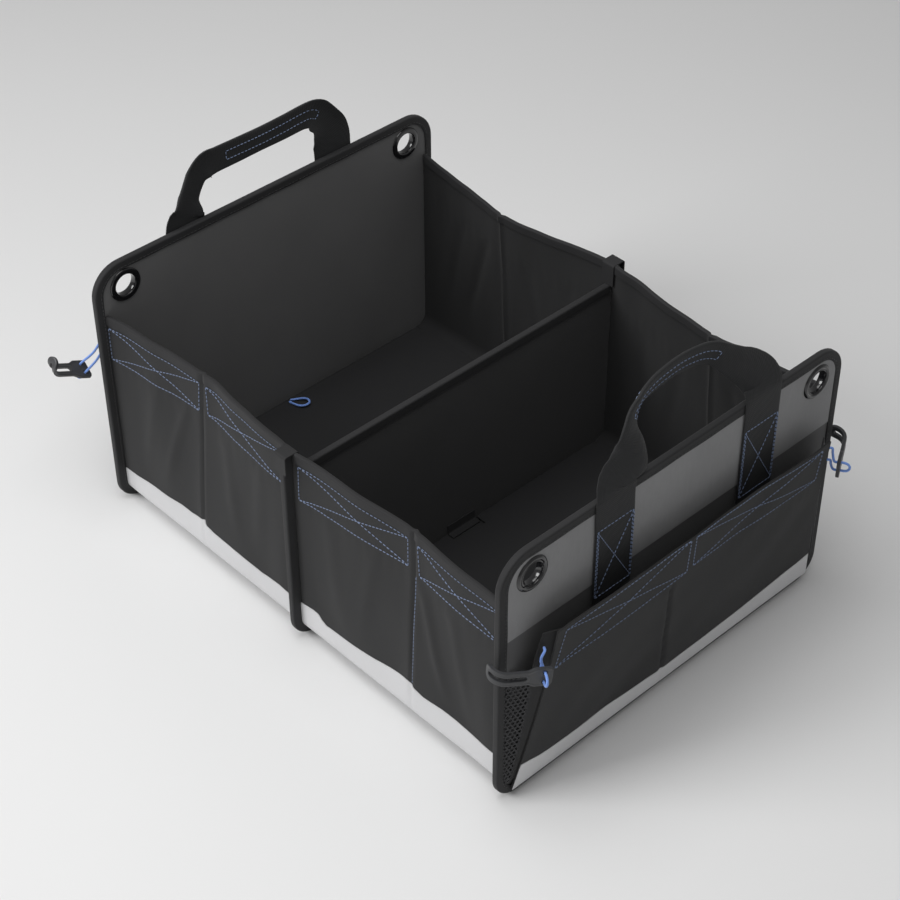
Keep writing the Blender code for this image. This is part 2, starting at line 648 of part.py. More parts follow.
# Points that each elastic's two strands pass between the gusset and the hook's holes.
TUCKED_STRANDS = (((0.3128, -0.1987, 0.1880),), ((0.3125, -0.1987, 0.1735),))
FLUNG_STRANDS = (((0.3120, -0.2050, 0.1955), (0.3035, -0.2240, 0.1905)),
                 ((0.3100, -0.2060, 0.1835), (0.2990, -0.2255, 0.1825)))


def gusset_place(share, across, offset):
    """A point at an offset out from a near left gusset's outer face, and the way out of it."""
    wall = np.array([HALF_LENGTH + GAP, -HALF_WIDTH + GUSSET_WALL_INSET, gusset_wall_z(share)])
    z = gusset_front_z(share)
    front = np.array([pocket_plane(z) - GAP, -pocket_edge(z) + GAP, z])
    run = front - wall
    out = np.array([run[1], -run[0], 0.0]) / math.hypot(run[0], run[1])
    return tuple(wall + run * across + out * offset)


def hook_frame(place):
    """Matrix of a hook's own frame: X runs to the tip, Z up its cord edge, and it bends toward -Y."""
    origin, along, up = (Vector(part) for part in place)
    along.normalize()
    side = up.cross(along).normalized()
    up = along.cross(side)
    turn = Matrix((along, side, up)).transposed().to_4x4()
    return Matrix.Translation(origin) @ turn


def hook_and_elastic(sign_x, sign_y, place, strands):
    """A hook in its place, and its elastic from the gusset through the two holes and back."""
    where = f"{end_name(sign_x)}_{side_name(sign_y)}"
    frame = hook_frame(place)
    shape = hook_mesh(f"hook_{where}")
    shape.transform(Matrix.Diagonal((sign_x, -sign_y, 1, 1)) @ frame)
    finish_mesh(f"hook_{where}", shape, "hook_plastic", smooth=True)

    turn = HOOK_HOLE_SPACING / 2
    ways = [(-CORD_STRAIGHT, turn), (0.0, turn), (CORD_STRAIGHT, turn)]
    ways += [(CORD_STRAIGHT + turn * math.sin(a), turn * math.cos(a)) for a in np.radians((36, 72, 108, 144))]
    ways += [(CORD_STRAIGHT, -turn), (0.0, -turn), (-CORD_STRAIGHT, -turn)]
    through = [tuple(frame @ Vector((HOOK_HOLE_INSET, w, v))) for w, v in ways]
    first, second = strands
    starts = [gusset_place(ELASTIC_HIGH, ELASTIC_ACROSS, off) for off in (CORD_SEAT, CORD_LIFT)]
    ends = [gusset_place(ELASTIC_LOW, ELASTIC_ACROSS, off) for off in (CORD_LIFT, CORD_SEAT)]
    route = starts + list(first) + through + list(reversed(second)) + ends
    cord(f"elastic_{where}", [(sign_x * x, -sign_y * y, z) for x, y, z in route])


def main():
    clear_scene()
    for sign_x in (1, -1):
        end_wall(sign_x)
        base(sign_x)
        floor_board(sign_x)
        pocket(sign_x)
        for sign_y in (-1, 1):
            side_wall(sign_x, sign_y)
    divider()
    for sign_y in (-1, 1):
        centre_tab(sign_y)
    handle(1, NEAR_ROWS, NEAR_LEAN)
    handle(-1, FAR_ROWS, FAR_LEAN)
    for sign_x, sign_y in ((1, -1), (1, 1), (-1, 1)):
        hook_and_elastic(sign_x, sign_y, TUCKED, TUCKED_STRANDS)
    hook_and_elastic(-1, -1, FLUNG, FLUNG_STRANDS)


main()
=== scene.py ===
# %% [markdown]
# A soft-sided storage box for a car boot. Three stiff bound walls hold up four panels of side cloth, and
# everything else is sewn or pressed on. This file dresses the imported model: each cell makes one kind of
# piece as a surface worked out with numpy, in the same places as the model's solids.

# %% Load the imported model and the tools
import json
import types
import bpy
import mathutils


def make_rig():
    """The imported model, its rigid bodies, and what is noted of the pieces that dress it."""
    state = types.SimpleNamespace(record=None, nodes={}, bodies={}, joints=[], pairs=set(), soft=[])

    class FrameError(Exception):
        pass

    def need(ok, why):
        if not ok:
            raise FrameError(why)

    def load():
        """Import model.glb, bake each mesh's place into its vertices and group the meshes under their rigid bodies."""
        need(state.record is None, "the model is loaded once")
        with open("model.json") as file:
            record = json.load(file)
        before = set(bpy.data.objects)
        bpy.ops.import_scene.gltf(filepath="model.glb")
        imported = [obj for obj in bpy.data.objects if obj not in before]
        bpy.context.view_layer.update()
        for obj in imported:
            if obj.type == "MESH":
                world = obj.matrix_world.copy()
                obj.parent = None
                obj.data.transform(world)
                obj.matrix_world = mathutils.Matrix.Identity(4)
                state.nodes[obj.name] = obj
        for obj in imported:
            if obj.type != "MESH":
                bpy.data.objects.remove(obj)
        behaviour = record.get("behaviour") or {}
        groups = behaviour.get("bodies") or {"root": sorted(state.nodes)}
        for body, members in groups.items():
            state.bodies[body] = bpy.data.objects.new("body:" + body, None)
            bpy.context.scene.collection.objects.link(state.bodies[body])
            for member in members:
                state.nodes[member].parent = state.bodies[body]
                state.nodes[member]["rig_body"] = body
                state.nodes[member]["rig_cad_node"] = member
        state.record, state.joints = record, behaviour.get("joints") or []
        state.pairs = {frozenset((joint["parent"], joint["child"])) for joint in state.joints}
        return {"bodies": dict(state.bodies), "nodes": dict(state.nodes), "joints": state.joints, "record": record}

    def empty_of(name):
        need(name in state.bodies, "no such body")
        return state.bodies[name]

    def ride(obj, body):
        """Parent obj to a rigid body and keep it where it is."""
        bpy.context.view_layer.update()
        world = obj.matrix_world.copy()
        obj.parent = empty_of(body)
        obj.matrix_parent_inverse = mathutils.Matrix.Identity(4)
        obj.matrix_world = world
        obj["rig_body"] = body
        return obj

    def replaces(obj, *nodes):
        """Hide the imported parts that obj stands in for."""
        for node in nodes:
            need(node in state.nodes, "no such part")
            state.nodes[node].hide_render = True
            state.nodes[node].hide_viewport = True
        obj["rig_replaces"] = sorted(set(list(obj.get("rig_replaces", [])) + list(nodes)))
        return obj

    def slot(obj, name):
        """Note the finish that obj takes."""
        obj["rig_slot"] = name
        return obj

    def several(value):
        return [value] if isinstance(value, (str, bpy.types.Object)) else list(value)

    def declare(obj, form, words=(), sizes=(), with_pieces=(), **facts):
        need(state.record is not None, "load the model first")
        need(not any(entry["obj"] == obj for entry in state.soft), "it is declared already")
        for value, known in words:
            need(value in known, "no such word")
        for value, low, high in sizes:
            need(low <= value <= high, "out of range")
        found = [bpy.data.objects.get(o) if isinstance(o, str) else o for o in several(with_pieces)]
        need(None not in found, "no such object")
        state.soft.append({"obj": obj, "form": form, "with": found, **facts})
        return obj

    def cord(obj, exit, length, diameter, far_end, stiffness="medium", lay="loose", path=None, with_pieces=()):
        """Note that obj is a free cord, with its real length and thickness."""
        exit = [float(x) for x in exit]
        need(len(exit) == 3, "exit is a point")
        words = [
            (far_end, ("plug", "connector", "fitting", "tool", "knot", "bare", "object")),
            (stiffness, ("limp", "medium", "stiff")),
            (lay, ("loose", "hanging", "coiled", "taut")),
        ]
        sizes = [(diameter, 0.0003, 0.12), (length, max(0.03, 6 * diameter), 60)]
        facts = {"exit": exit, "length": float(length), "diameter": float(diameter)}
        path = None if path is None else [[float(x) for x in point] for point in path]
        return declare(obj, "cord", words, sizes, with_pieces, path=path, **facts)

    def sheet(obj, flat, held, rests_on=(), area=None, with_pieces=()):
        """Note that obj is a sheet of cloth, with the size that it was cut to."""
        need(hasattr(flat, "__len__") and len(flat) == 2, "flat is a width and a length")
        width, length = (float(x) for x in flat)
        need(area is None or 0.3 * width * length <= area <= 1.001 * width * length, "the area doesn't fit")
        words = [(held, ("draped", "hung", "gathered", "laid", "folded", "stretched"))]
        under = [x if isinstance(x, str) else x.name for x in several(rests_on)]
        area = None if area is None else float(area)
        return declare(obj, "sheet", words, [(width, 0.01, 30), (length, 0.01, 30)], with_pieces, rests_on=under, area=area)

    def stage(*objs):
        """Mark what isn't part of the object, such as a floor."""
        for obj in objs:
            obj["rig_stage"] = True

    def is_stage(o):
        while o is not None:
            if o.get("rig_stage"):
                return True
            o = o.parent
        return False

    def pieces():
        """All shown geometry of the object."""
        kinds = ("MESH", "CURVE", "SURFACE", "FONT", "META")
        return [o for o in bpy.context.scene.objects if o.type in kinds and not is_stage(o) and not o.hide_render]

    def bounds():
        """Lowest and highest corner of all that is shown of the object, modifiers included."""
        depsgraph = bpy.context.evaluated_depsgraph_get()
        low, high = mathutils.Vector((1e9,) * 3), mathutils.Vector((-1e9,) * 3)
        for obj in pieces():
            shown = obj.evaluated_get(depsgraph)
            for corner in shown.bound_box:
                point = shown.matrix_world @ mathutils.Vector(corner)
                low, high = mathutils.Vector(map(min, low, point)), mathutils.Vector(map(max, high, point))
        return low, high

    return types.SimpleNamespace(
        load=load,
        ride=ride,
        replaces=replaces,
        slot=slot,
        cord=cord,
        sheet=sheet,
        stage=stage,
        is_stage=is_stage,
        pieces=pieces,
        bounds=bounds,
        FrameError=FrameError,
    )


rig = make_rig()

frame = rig.load()

import json
import math

import bmesh
import bpy
import numpy as np
from mathutils import Matrix, Vector
from mathutils.geometry import delaunay_2d_cdt

cad_box = [[float(v) for v in corner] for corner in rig.bounds()]
print("CAD box:", cad_box)

# %% [markdown]
# The model's own sizes come first, because each piece has to lie where its solid lies.

# %% Sizes shared by the pieces, in metres
HALF_LENGTH, HALF_WIDTH = 0.290, 0.227
END_HEIGHT, SIDE_TOP, DIVIDER_TOP = 0.298, 0.242, 0.217
DIVIDER_LIFT, FOOT_BOW = 0.0010, 0.0004
TOP_RADIUS, FOOT_RADIUS = 0.034, 0.026
GAP, BOARD, TAPE, CLOTH, FACING = 0.0003, 0.0045, 0.0012, 0.0020, 0.0008
TAPE_LAP = 0.0095
EDGE_INSET = TAPE + GAP
BOARD_OUT = HALF_LENGTH - EDGE_INSET
BOARD_IN = BOARD_OUT - BOARD
TAPE_IN = BOARD_IN - EDGE_INSET
SIDE_OUT, SIDE_IN = 0.217, 0.215
EAR_IN = 0.213
BASE_BOTTOM = TAPE_LAP + FOOT_BOW + GAP
BASE_TOP = BASE_BOTTOM + CLOTH
BOARD_BOTTOM = BASE_TOP + GAP
BOARD_TOP = BOARD_BOTTOM + 0.0040
DIVIDER_TAPE_OUT = BOARD / 2 + EDGE_INSET
BAY_START, BAY_END = DIVIDER_TAPE_OUT + GAP, BOARD_IN - GAP
HINGE_X = DIVIDER_TAPE_OUT + 0.0010
BOARD_STOP = BOARD_IN - 0.0055
KNEE_RADIUS = 0.016
KNEE = BASE_BOTTOM + KNEE_RADIUS
KNEE_RUN = KNEE_RADIUS * math.pi / 2
BASE_HALF = 0.2007
POCKET_TOP, POCKET_FOOT, POCKET_TALL = 0.215, 0.006, 0.209
POCKET_LEAN, POCKET_TAPER, POCKET_INSET = 0.027, 0.027, 0.016
GUSSET_FOOT, GUSSET_WALL_TOP, GUSSET_TALL = 0.022, 0.205, 0.189
FACING_FOOT, FACING_CUT = 0.203, 0.2035
EYELET_HOLE = 0.0139
WEBBING = 0.050
FACE_OUT = BOARD_OUT + GAP + FACING
EYELET_Y, EYELET_Z = HALF_WIDTH - 0.038, END_HEIGHT - 0.030
print("side cloth from", BAY_START, "to", BAY_END)

# %% [markdown]
# The camera stands where the photograph's camera stood. Its place and angle were found by fitting the
# box's corners, so the matrix is written out from those angles.

# %% Camera
AZIMUTH, DOWN, ROLL = math.radians(-46.85), math.radians(40.45), math.radians(-0.24)
forward = Vector((math.sin(AZIMUTH) * math.cos(DOWN), math.cos(AZIMUTH) * math.cos(DOWN), -math.sin(DOWN)))
right = Vector((math.cos(AZIMUTH), -math.sin(AZIMUTH), 0.0))
up = right.cross(forward)
rolled_right = right * math.cos(ROLL) + up * math.sin(ROLL)
rolled_up = up * math.cos(ROLL) - right * math.sin(ROLL)
camera_data = bpy.data.cameras.new("camera")
camera_data.lens, camera_data.sensor_width = 85.35, 36.0
camera_data.clip_start, camera_data.clip_end = 0.05, 50.0
camera = bpy.data.objects.new("camera", camera_data)
turned = Matrix((rolled_right, rolled_up, -forward)).transposed().to_4x4()
camera.matrix_world = Matrix.Translation((1.1974, -1.1348, 1.5219)) @ turned
bpy.context.scene.collection.objects.link(camera)
bpy.context.scene.camera = camera
print("camera at", tuple(round(v, 3) for v in camera.matrix_world.translation))

# %% [markdown]
# Shader maths reads best as arithmetic. A small class holds one socket, and its operators add Math nodes.
# One more class holds a material and adds any other node.


# %% Shader helpers
class Shade:
    """One output socket of a node tree, so that a shader formula reads like arithmetic."""

    def __init__(self, tree, socket):
        self.tree, self.socket = tree, socket

    def maths(self, operation, other=0.0, swap=False):
        node = self.tree.nodes.new("ShaderNodeMath")
        node.operation = operation
        for slot, value in zip(node.inputs, (other, self) if swap else (self, other)):
            feed(self.tree, value, slot)
        return Shade(self.tree, node.outputs[0])

    def __add__(self, other): return self.maths("ADD", other)
    def __sub__(self, other): return self.maths("SUBTRACT", other)
    def __mul__(self, other): return self.maths("MULTIPLY", other)
    def __rsub__(self, other): return self.maths("SUBTRACT", other, True)
    __radd__, __rmul__ = __add__, __mul__


def feed(tree, value, socket):
    """Link a Shade to a socket, or set the socket's own value."""
    if isinstance(value, Shade):
        tree.links.new(value.socket, socket)
    else:
        socket.default_value = value


class Finish:
    """A material built round one Principled shader."""

    def __init__(self, name, colour, roughness, **fixed):
        self.material = bpy.data.materials.new(name)
        self.material.use_nodes = True
        self.tree = self.material.node_tree
        self.shader = self.tree.nodes["Principled BSDF"]
        self.colour = (*colour, 1.0)
        self.set("Base Color", self.colour)
        self.set("Roughness", roughness)
        for key, value in fixed.items():
            self.set(key.replace("_", " "), value)

    def set(self, name, value):
        feed(self.tree, value, self.shader.inputs[name])

    def node(self, kind, settings=None, inputs=None, output=0):
        """Any other node: its kind, its settings, the values or links of its sockets."""
        made = self.tree.nodes.new(kind)
        for key, value in (settings or {}).items():
            setattr(made, key, value)
        for key, value in (inputs or {}).items():
            feed(self.tree, value, made.inputs[key])
        return Shade(self.tree, made.outputs[output])

    def cloth_axes(self):
        """The two directions on the cloth itself, in metres."""
        split = self.tree.nodes.new("ShaderNodeSeparateXYZ")
        self.tree.links.new(self.node("ShaderNodeUVMap", {"uv_map": "cloth"}).socket, split.inputs[0])
        return Shade(self.tree, split.outputs[0]), Shade(self.tree, split.outputs[1])

    def noise(self, scale, detail=3.0, stretch=(1, 1, 1), uv=False):
        """Noise from 0 to 1 on Object coordinates, or on the cloth's own."""
        place = (self.node("ShaderNodeUVMap", {"uv_map": "cloth"}) if uv
                 else self.node("ShaderNodeTexCoord", output=3))
        place = self.node("ShaderNodeMapping", inputs={"Vector": place, "Scale": stretch})
        return self.node("ShaderNodeTexNoise", inputs={"Vector": place, "Scale": scale, "Detail": detail})

    def tint(self, factor, low, high):
        """Base colour between two multiples of the material's colour."""
        ends = [tuple(min(1.0, c * k) for c in self.colour[:3]) + (1.0,) for k in (low, high)]
        self.set("Base Color", self.node("ShaderNodeMix", {"data_type": "RGBA"},
                                         {0: factor, 6: ends[0], 7: ends[1]}, 2))

    def bump(self, height, distance, strength=1.0):
        self.set("Normal", self.node("ShaderNodeBump", inputs={
            "Height": height, "Distance": distance, "Strength": strength}))


def ripple(coordinate, pitch):
    """A sine wave of one pitch, from -1 to 1."""
    return (coordinate * (2 * math.pi / pitch)).maths("SINE")


# %% [markdown]
# The cloths differ in their yarn. Each one is a weave height from two sine waves at the yarn's pitch, a
# little uneven colour from noise, painted shade in the weave's hollows, and sheen, which is the soft glow that
# fibres have at a low angle. The walls' lining and the divider's cloth are also painted lighter, as painted light.

# %% Cloth and tape finishes


def woven(name, colour, roughness, pitch, depth, low, high, sheen=0.06, slub=0.35):
    """Plain weave: the product of a warp and a weft wave, with uneven yarns."""
    finish = Finish(name, colour, roughness, Sheen_Weight=sheen, Sheen_Roughness=0.5)
    warp, weft = finish.cloth_axes()
    uneven = finish.noise(1 / (3 * pitch), 2.0, (1, 0.25, 1), uv=True)
    height = ripple(warp, pitch) * ripple(weft, pitch) * 0.5 + 0.5 + uneven * slub
    finish.bump(height, depth, 0.8)
    # Colour: random tone from noise, plus painted shade in the weave's hollows and a painted highlight on its raised
    # yarns, from the weave height.
    finish.tint(finish.noise(9.0, 4.0) * 0.6 + height * 0.25, low, high)
    return finish.material


def ribbed(name, colour, pitch, depth, across=0.0, roughness=0.78):
    """Binding tape or webbing: ribs across its length, with fine lines along it."""
    finish = Finish(name, colour, roughness, Sheen_Weight=0.08, Sheen_Roughness=0.45)
    along, wide = finish.cloth_axes()
    height = ripple(along, pitch) * (0.7 + 0.3 * ripple(wide, pitch * 1.5))
    if across:
        height = height + ripple(wide + along * 0.5, across) * 0.6
    finish.bump(height * 0.5 + 0.5, depth, 0.8)
    # Colour: random tone from noise, plus painted shade between the ribs from the rib height.
    finish.tint(finish.noise(14.0, 3.0) * 0.8 + height * 0.1, 0.7, 1.5)
    return finish.material


charcoal_cloth = woven("charcoal_cloth", (0.0115, 0.0116, 0.0122), 0.86, 0.0010, 0.00012, 0.8, 1.35)
# The walls' lining: a little lighter than the charcoal cloth in itself, and painted about ten times lighter than it,
# as painted light on wall faces that the lamps leave too dark.
lining_and_painted_light = woven("lining_and_painted_light", (0.120, 0.120, 0.121), 0.90, 0.0010, 0.00010, 0.8, 1.3)
# The divider's cloth: the same weave, painted lighter than the charcoal cloth as painted light on the divider's faces.
divider_cloth = woven("divider_cloth", (0.052, 0.052, 0.053), 0.90, 0.0010, 0.00010, 0.8, 1.3)
light_cloth = woven("light_cloth", (0.250, 0.251, 0.255), 0.85, 0.0014, 0.00022, 0.72, 1.30, slub=0.9)
board_cloth = woven("board_cloth", (0.0120, 0.0120, 0.0130), 0.90, 0.0010, 0.00010, 0.8, 1.3)
black_tape = ribbed("black_tape", (0.0105, 0.0105, 0.0115), 0.0011, 0.00012)
black_webbing = ribbed("black_webbing", (0.0095, 0.0100, 0.0110), 0.0024, 0.00018, 0.0048)
black_mesh = woven("black_mesh", (0.020, 0.020, 0.022), 0.80, 0.0006, 0.00006, 0.8, 1.4)

reflective = Finish("reflective_cloth", (0.64, 0.64, 0.65), 0.46, Metallic=0.15, Sheen_Weight=0.1)
grain = reflective.noise(900.0, 2.0, uv=True)
reflective.bump(grain, 0.00005, 0.5)
reflective.tint(reflective.noise(11.0, 3.0) * 0.8 + grain * 0.2, 0.90, 1.10)
reflective_cloth = reflective.material
print("cloth finishes:", len(bpy.data.materials))

# %% [markdown]
# Hard plastic, braided elastic and sewing thread. The hooks have a fine moulded grain, the eyelets are
# glossy, the braid is two crossing spirals, darker between its strands as painted shade, and thread is
# twisted, with its slanting stripes painted in as light and shade.

# %% Plastic, elastic and thread finishes
hook = Finish("hook_plastic", (0.040, 0.041, 0.044), 0.42)
hook.bump(hook.noise(1400.0, 2.0), 0.00004, 0.5)
hook.set("Roughness", hook.noise(60.0) * 0.16 + 0.34)
hook_plastic = hook.material

gloss = Finish("eyelet_black", (0.008, 0.008, 0.009), 0.16, Coat_Weight=0.4, Coat_Roughness=0.08)
gloss.set("Roughness", gloss.noise(180.0) * 0.12 + 0.10)
eyelet_black = gloss.material

braid = Finish("blue_elastic", (0.180, 0.330, 0.800), 0.55, Sheen_Weight=0.3)
along, around = braid.cloth_axes()
strands = ripple(along + around, 0.0016) * ripple(along - around, 0.0016) * 0.5 + 0.5
braid.bump(strands, 0.00015, 0.9)
# The braid's colour follows its strands: painted shade in the hollows between them and a painted highlight on their
# crowns.
braid.tint(strands, 0.75, 1.25)
blue_elastic = braid.material

twist = Finish("blue_thread", (0.190, 0.250, 0.400), 0.55, Sheen_Weight=0.2)
along, around = twist.cloth_axes()
strands = ripple(along + around * 0.6, 0.0007) * 0.5 + 0.5
twist.bump(strands, 0.00008, 0.8)
# The twist's stripes are painted light and shade in the thread's colour.
twist.tint(strands, 0.8, 1.3)
blue_thread = twist.material

dark = Finish("black_thread", (0.020, 0.020, 0.022), 0.55, Sheen_Weight=0.2)
along, around = dark.cloth_axes()
# The twist's stripes are painted light and shade in the thread's colour.
dark.tint(ripple(along + around * 0.6, 0.0007) * 0.5 + 0.5, 0.7, 1.4)
black_thread = dark.material
print("finishes:", len(bpy.data.materials))

# %% [markdown]
# Three helpers make every piece. A grid of points becomes faces, either open, wrapped into a tube, or
# doubled into a closed sheet. Every piece gets a UV map in metres, so a weave keeps its real size.


# %% Mesh helpers
def outward(mesh):
    """Make a closed mesh's faces look outwards, from the sign of its volume."""
    shape = bmesh.new()
    shape.from_mesh(mesh)
    bmesh.ops.recalc_face_normals(shape, faces=shape.faces)
    if shape.calc_volume(signed=True) < 0:
        bmesh.ops.reverse_faces(shape, faces=shape.faces)
    shape.to_mesh(mesh)
    shape.free()


def make_piece(name, points, faces, corner_uv, finish, slot, body="box", sharp=40):
    """Put points and faces into a new object that rides on a body."""
    mesh = bpy.data.meshes.new(name)
    mesh.from_pydata(points.tolist(), [], faces)
    mesh.uv_layers.new(name="cloth").data.foreach_set("uv", np.ascontiguousarray(corner_uv, float).ravel())
    outward(mesh)
    mesh.shade_smooth()
    mesh.set_sharp_from_angle(angle=math.radians(sharp))
    mesh.materials.append(finish)
    piece = bpy.data.objects.new(name, mesh)
    bpy.context.scene.collection.objects.link(piece)
    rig.ride(piece, body)
    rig.slot(piece, slot)
    return piece


def grid_piece(name, points, uv, finish, slot, wrap=(False, False), caps=None, **more):
    """Quads over a grid of points. wrap joins the last row or column to the first; caps closes the
    two end rows, as a fan over a round section or as a strip over a folded sheet."""
    rows, cols = points.shape[:2]
    i, j = np.meshgrid(np.arange(rows - (not wrap[0])), np.arange(cols - (not wrap[1])), indexing="ij")
    i, j = i.ravel(), j.ravel()
    corners = ((i, j), (i + 1, j), (i + 1, j + 1), (i, j + 1))
    faces = np.stack([(a % rows) * cols + b % cols for a, b in corners], axis=1).tolist()
    corner_uv = [np.stack([uv[a, b] for a, b in corners], axis=1).reshape(-1, 2)]
    for row in (0, rows - 1) if caps else ():
        if caps == "fan":
            turns = [list(range(cols))]
        else:
            turns = [[k, k + 1, cols - 2 - k, cols - 1 - k] for k in range(cols // 2 - 1)]
        for turn in turns:
            faces.append([row * cols + k for k in turn])
            corner_uv.append(uv[row, turn])
    return make_piece(name, points.reshape(-1, 3), faces, np.vstack(corner_uv), finish, slot, **more)


def sheet_piece(name, outer, inner, uv, finish, slot, **more):
    """A closed sheet: an outer and an inner grid, back to back, joined round their border."""
    points = np.concatenate([outer, inner[:, ::-1]], axis=1)
    both = np.concatenate([uv, uv[:, ::-1], uv[:, :1]], axis=1)
    return grid_piece(name, points, both, finish, slot, wrap=(False, True), caps="strip", **more)


def unit(vectors):
    return vectors / np.maximum(np.linalg.norm(vectors, axis=-1, keepdims=True), 1e-12)


def run_of(points):
    """Distance along a line of points, from its start."""
    return np.concatenate([[0.0], np.cumsum(np.linalg.norm(np.diff(points, axis=0), axis=1))])


def sweep_piece(name, path, side, depth, section, finish, slot, closed=False, **more):
    """Carry a closed section along a path: point = path + across * side + deep * depth.
    side and depth are one direction for the whole path, or one for each of its points."""
    side, depth = np.broadcast_to(side, path.shape), np.broadcast_to(depth, path.shape)
    points = (path[:, None] + section[None, :, :1] * side[:, None] + section[None, :, 1:] * depth[:, None])
    ring = run_of(np.vstack([section, section[:1]]))
    line = run_of(np.vstack([path, path[:1]]) if closed else path)
    uv = np.stack(np.meshgrid(line, ring, indexing="ij"), axis=-1)
    return grid_piece(name, points, uv, finish, slot, wrap=(closed, True),
                      caps=None if closed else "strip", **more)


def smooth_waves(seed, x, z, size, count=7):
    """Soft unevenness: the mean of sine waves in random directions, with lengths near one size."""
    dice = np.random.default_rng(seed)
    turn, phase = dice.uniform(0, 2 * np.pi, (2, count))
    wave = 2 * np.pi / (size * dice.uniform(0.7, 1.5, count))
    place = x[..., None] * np.cos(turn) + z[..., None] * np.sin(turn)
    return np.sin(wave * place + phase).mean(axis=-1)


def end_name(sign_x):
    return "near" if sign_x > 0 else "far"


def side_name(sign_y):
    return "left" if sign_y < 0 else "right"


def corner_name(sign_x, sign_y):
    return f"{end_name(sign_x)}_{side_name(sign_y)}"


SIGN = {"near": 1, "far": -1, "left": -1, "right": 1}
print("helpers ready")

# %% [markdown]
# The cords come before the rest. Each elastic is sewn to a gusset, goes through the two holes of its hook
# and back. Each pull loop is sewn to a floor board. A cord is a tube carried along its route, on a frame
# that is turned as little as possible from point to point.

# %% Cords


def cubic_through(rows, steps):
    """Catmull-Rom curve through rows of values: four neighbouring rows weighted by cubic terms."""
    p = np.array(rows, float)
    padded = np.vstack([2 * p[0] - p[1], p, 2 * p[-1] - p[-2]])
    t = np.linspace(0, 1, steps, endpoint=False)[None, :, None]
    a, b, c, d = (padded[k:k + len(p) - 1, None] for k in range(4))
    dense = 0.5 * (2 * b + (c - a) * t + (2 * a - 5 * b + 4 * c - d) * t ** 2
                   + (3 * b - a - 3 * c + d) * t ** 3)
    return np.vstack([dense.reshape(-1, p.shape[1]), p[-1:]])


def at_steps(rows, run, even):
    """Rows of values read off at other distances along their run."""
    return np.column_stack([np.interp(even, run, rows[:, k]) for k in range(rows.shape[1])])


def smooth_route(points, spacing):
    """Points at even distances along a smooth curve through a few."""
    dense = cubic_through(points, 24)
    run = run_of(dense)
    return at_steps(dense, run, np.linspace(0, run[-1], max(4, round(run[-1] / spacing)) + 1))


CORD = 0.0025


def cord_piece(name, route, body):
    """A braided cord: a circle carried along a smooth route, with rounded ends."""
    line = smooth_route(route, 0.0009)
    tangent = unit(np.gradient(line, axis=0))
    normal = np.zeros_like(line)
    normal[0] = unit(np.cross(tangent[0], (0.31, 0.17, 0.93)))
    for k in range(1, len(line)):
        normal[k] = unit(normal[k - 1] - tangent[k] * normal[k - 1].dot(tangent[k]))
    turn = np.linspace(0, 2 * np.pi, 14, endpoint=False)
    radius = np.full(len(line), CORD / 2)
    radius[[0, -1]] *= 0.72
    ring = (np.cos(turn)[None, :, None] * normal[:, None]
            + np.sin(turn)[None, :, None] * np.cross(tangent, normal)[:, None])
    points = line[:, None] + radius[:, None, None] * ring
    run = run_of(line)
    uv = np.stack(np.meshgrid(run, np.linspace(0, np.pi * CORD, 15), indexing="ij"), axis=-1)
    piece = grid_piece(name, points, uv, blue_elastic, "blue_elastic", wrap=(False, True), caps="fan",
                       body=body)
    return piece, line, float(run[-1])


def pull_loop(sign_x):
    """The loop of cord at the middle of a floor board's free edge."""
    height = BOARD_TOP + GAP + CORD / 2
    half = [(-0.004, 0.0016, 0.0), (-0.010, 0.0042, 0.0002), (-0.017, 0.0066, 0.0010),
            (-0.0235, 0.0056, 0.0018), (-0.0270, 0.0, 0.0022)]
    route = np.array([(x, -y, z) for x, y, z in half] + half[-2::-1])
    turn = math.radians(-32)
    x, y = route[:, 0] + 0.004, route[:, 1]
    route = np.column_stack([BOARD_STOP - 0.004 + x * math.cos(turn) - y * math.sin(turn),
                             x * math.sin(turn) + y * math.cos(turn), height + route[:, 2]])
    end = end_name(sign_x)
    name = f"pull_loop_{end}"
    piece, line, length = cord_piece(f"loop_cord_{end}", route * (sign_x, -sign_x, 1), f"board_{end}")
    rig.replaces(piece, name)
    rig.cord(piece, exit=line[0], length=length, diameter=CORD, far_end="object", stiffness="limp",
            lay="loose", path=line)
    return length


def pocket_plane(z):
    """x of the pocket front's inner face: a straight slope from the foot to the rim."""
    return HALF_LENGTH + GAP + (POCKET_LEAN - GAP) * (z - POCKET_FOOT) / (POCKET_TOP - POCKET_FOOT)


def pocket_edge(z):
    """Half the pocket front's width: a straight slope from the foot to the rim."""
    return HALF_WIDTH - POCKET_INSET - POCKET_TAPER * (z - POCKET_FOOT) / (POCKET_TOP - POCKET_FOOT)


def gusset_ends(share):
    """The gusset's edge at the wall and its edge at the pocket front, for a share of its height."""
    share = np.asarray(share, float)
    wall_z = GUSSET_FOOT + (GUSSET_WALL_TOP - GUSSET_FOOT) * share
    front_z = GUSSET_FOOT + (POCKET_TOP - 0.004 - GUSSET_FOOT) * share
    wall = np.stack([share * 0 + HALF_LENGTH + GAP, share * 0 - HALF_WIDTH + 0.008, wall_z], axis=-1)
    front = np.stack([pocket_plane(front_z) - GAP, GAP - pocket_edge(front_z), front_z], axis=-1)
    return wall, front


def gusset_place(share, across, offset):
    """A point off a near left gusset's outer face."""
    wall, front = gusset_ends(share)
    run = front - wall
    out = unit(np.stack([run[..., 1], -run[..., 0], run[..., 2] * 0], axis=-1))
    return wall + run * np.asarray(across)[..., None] + out * np.asarray(offset)[..., None]


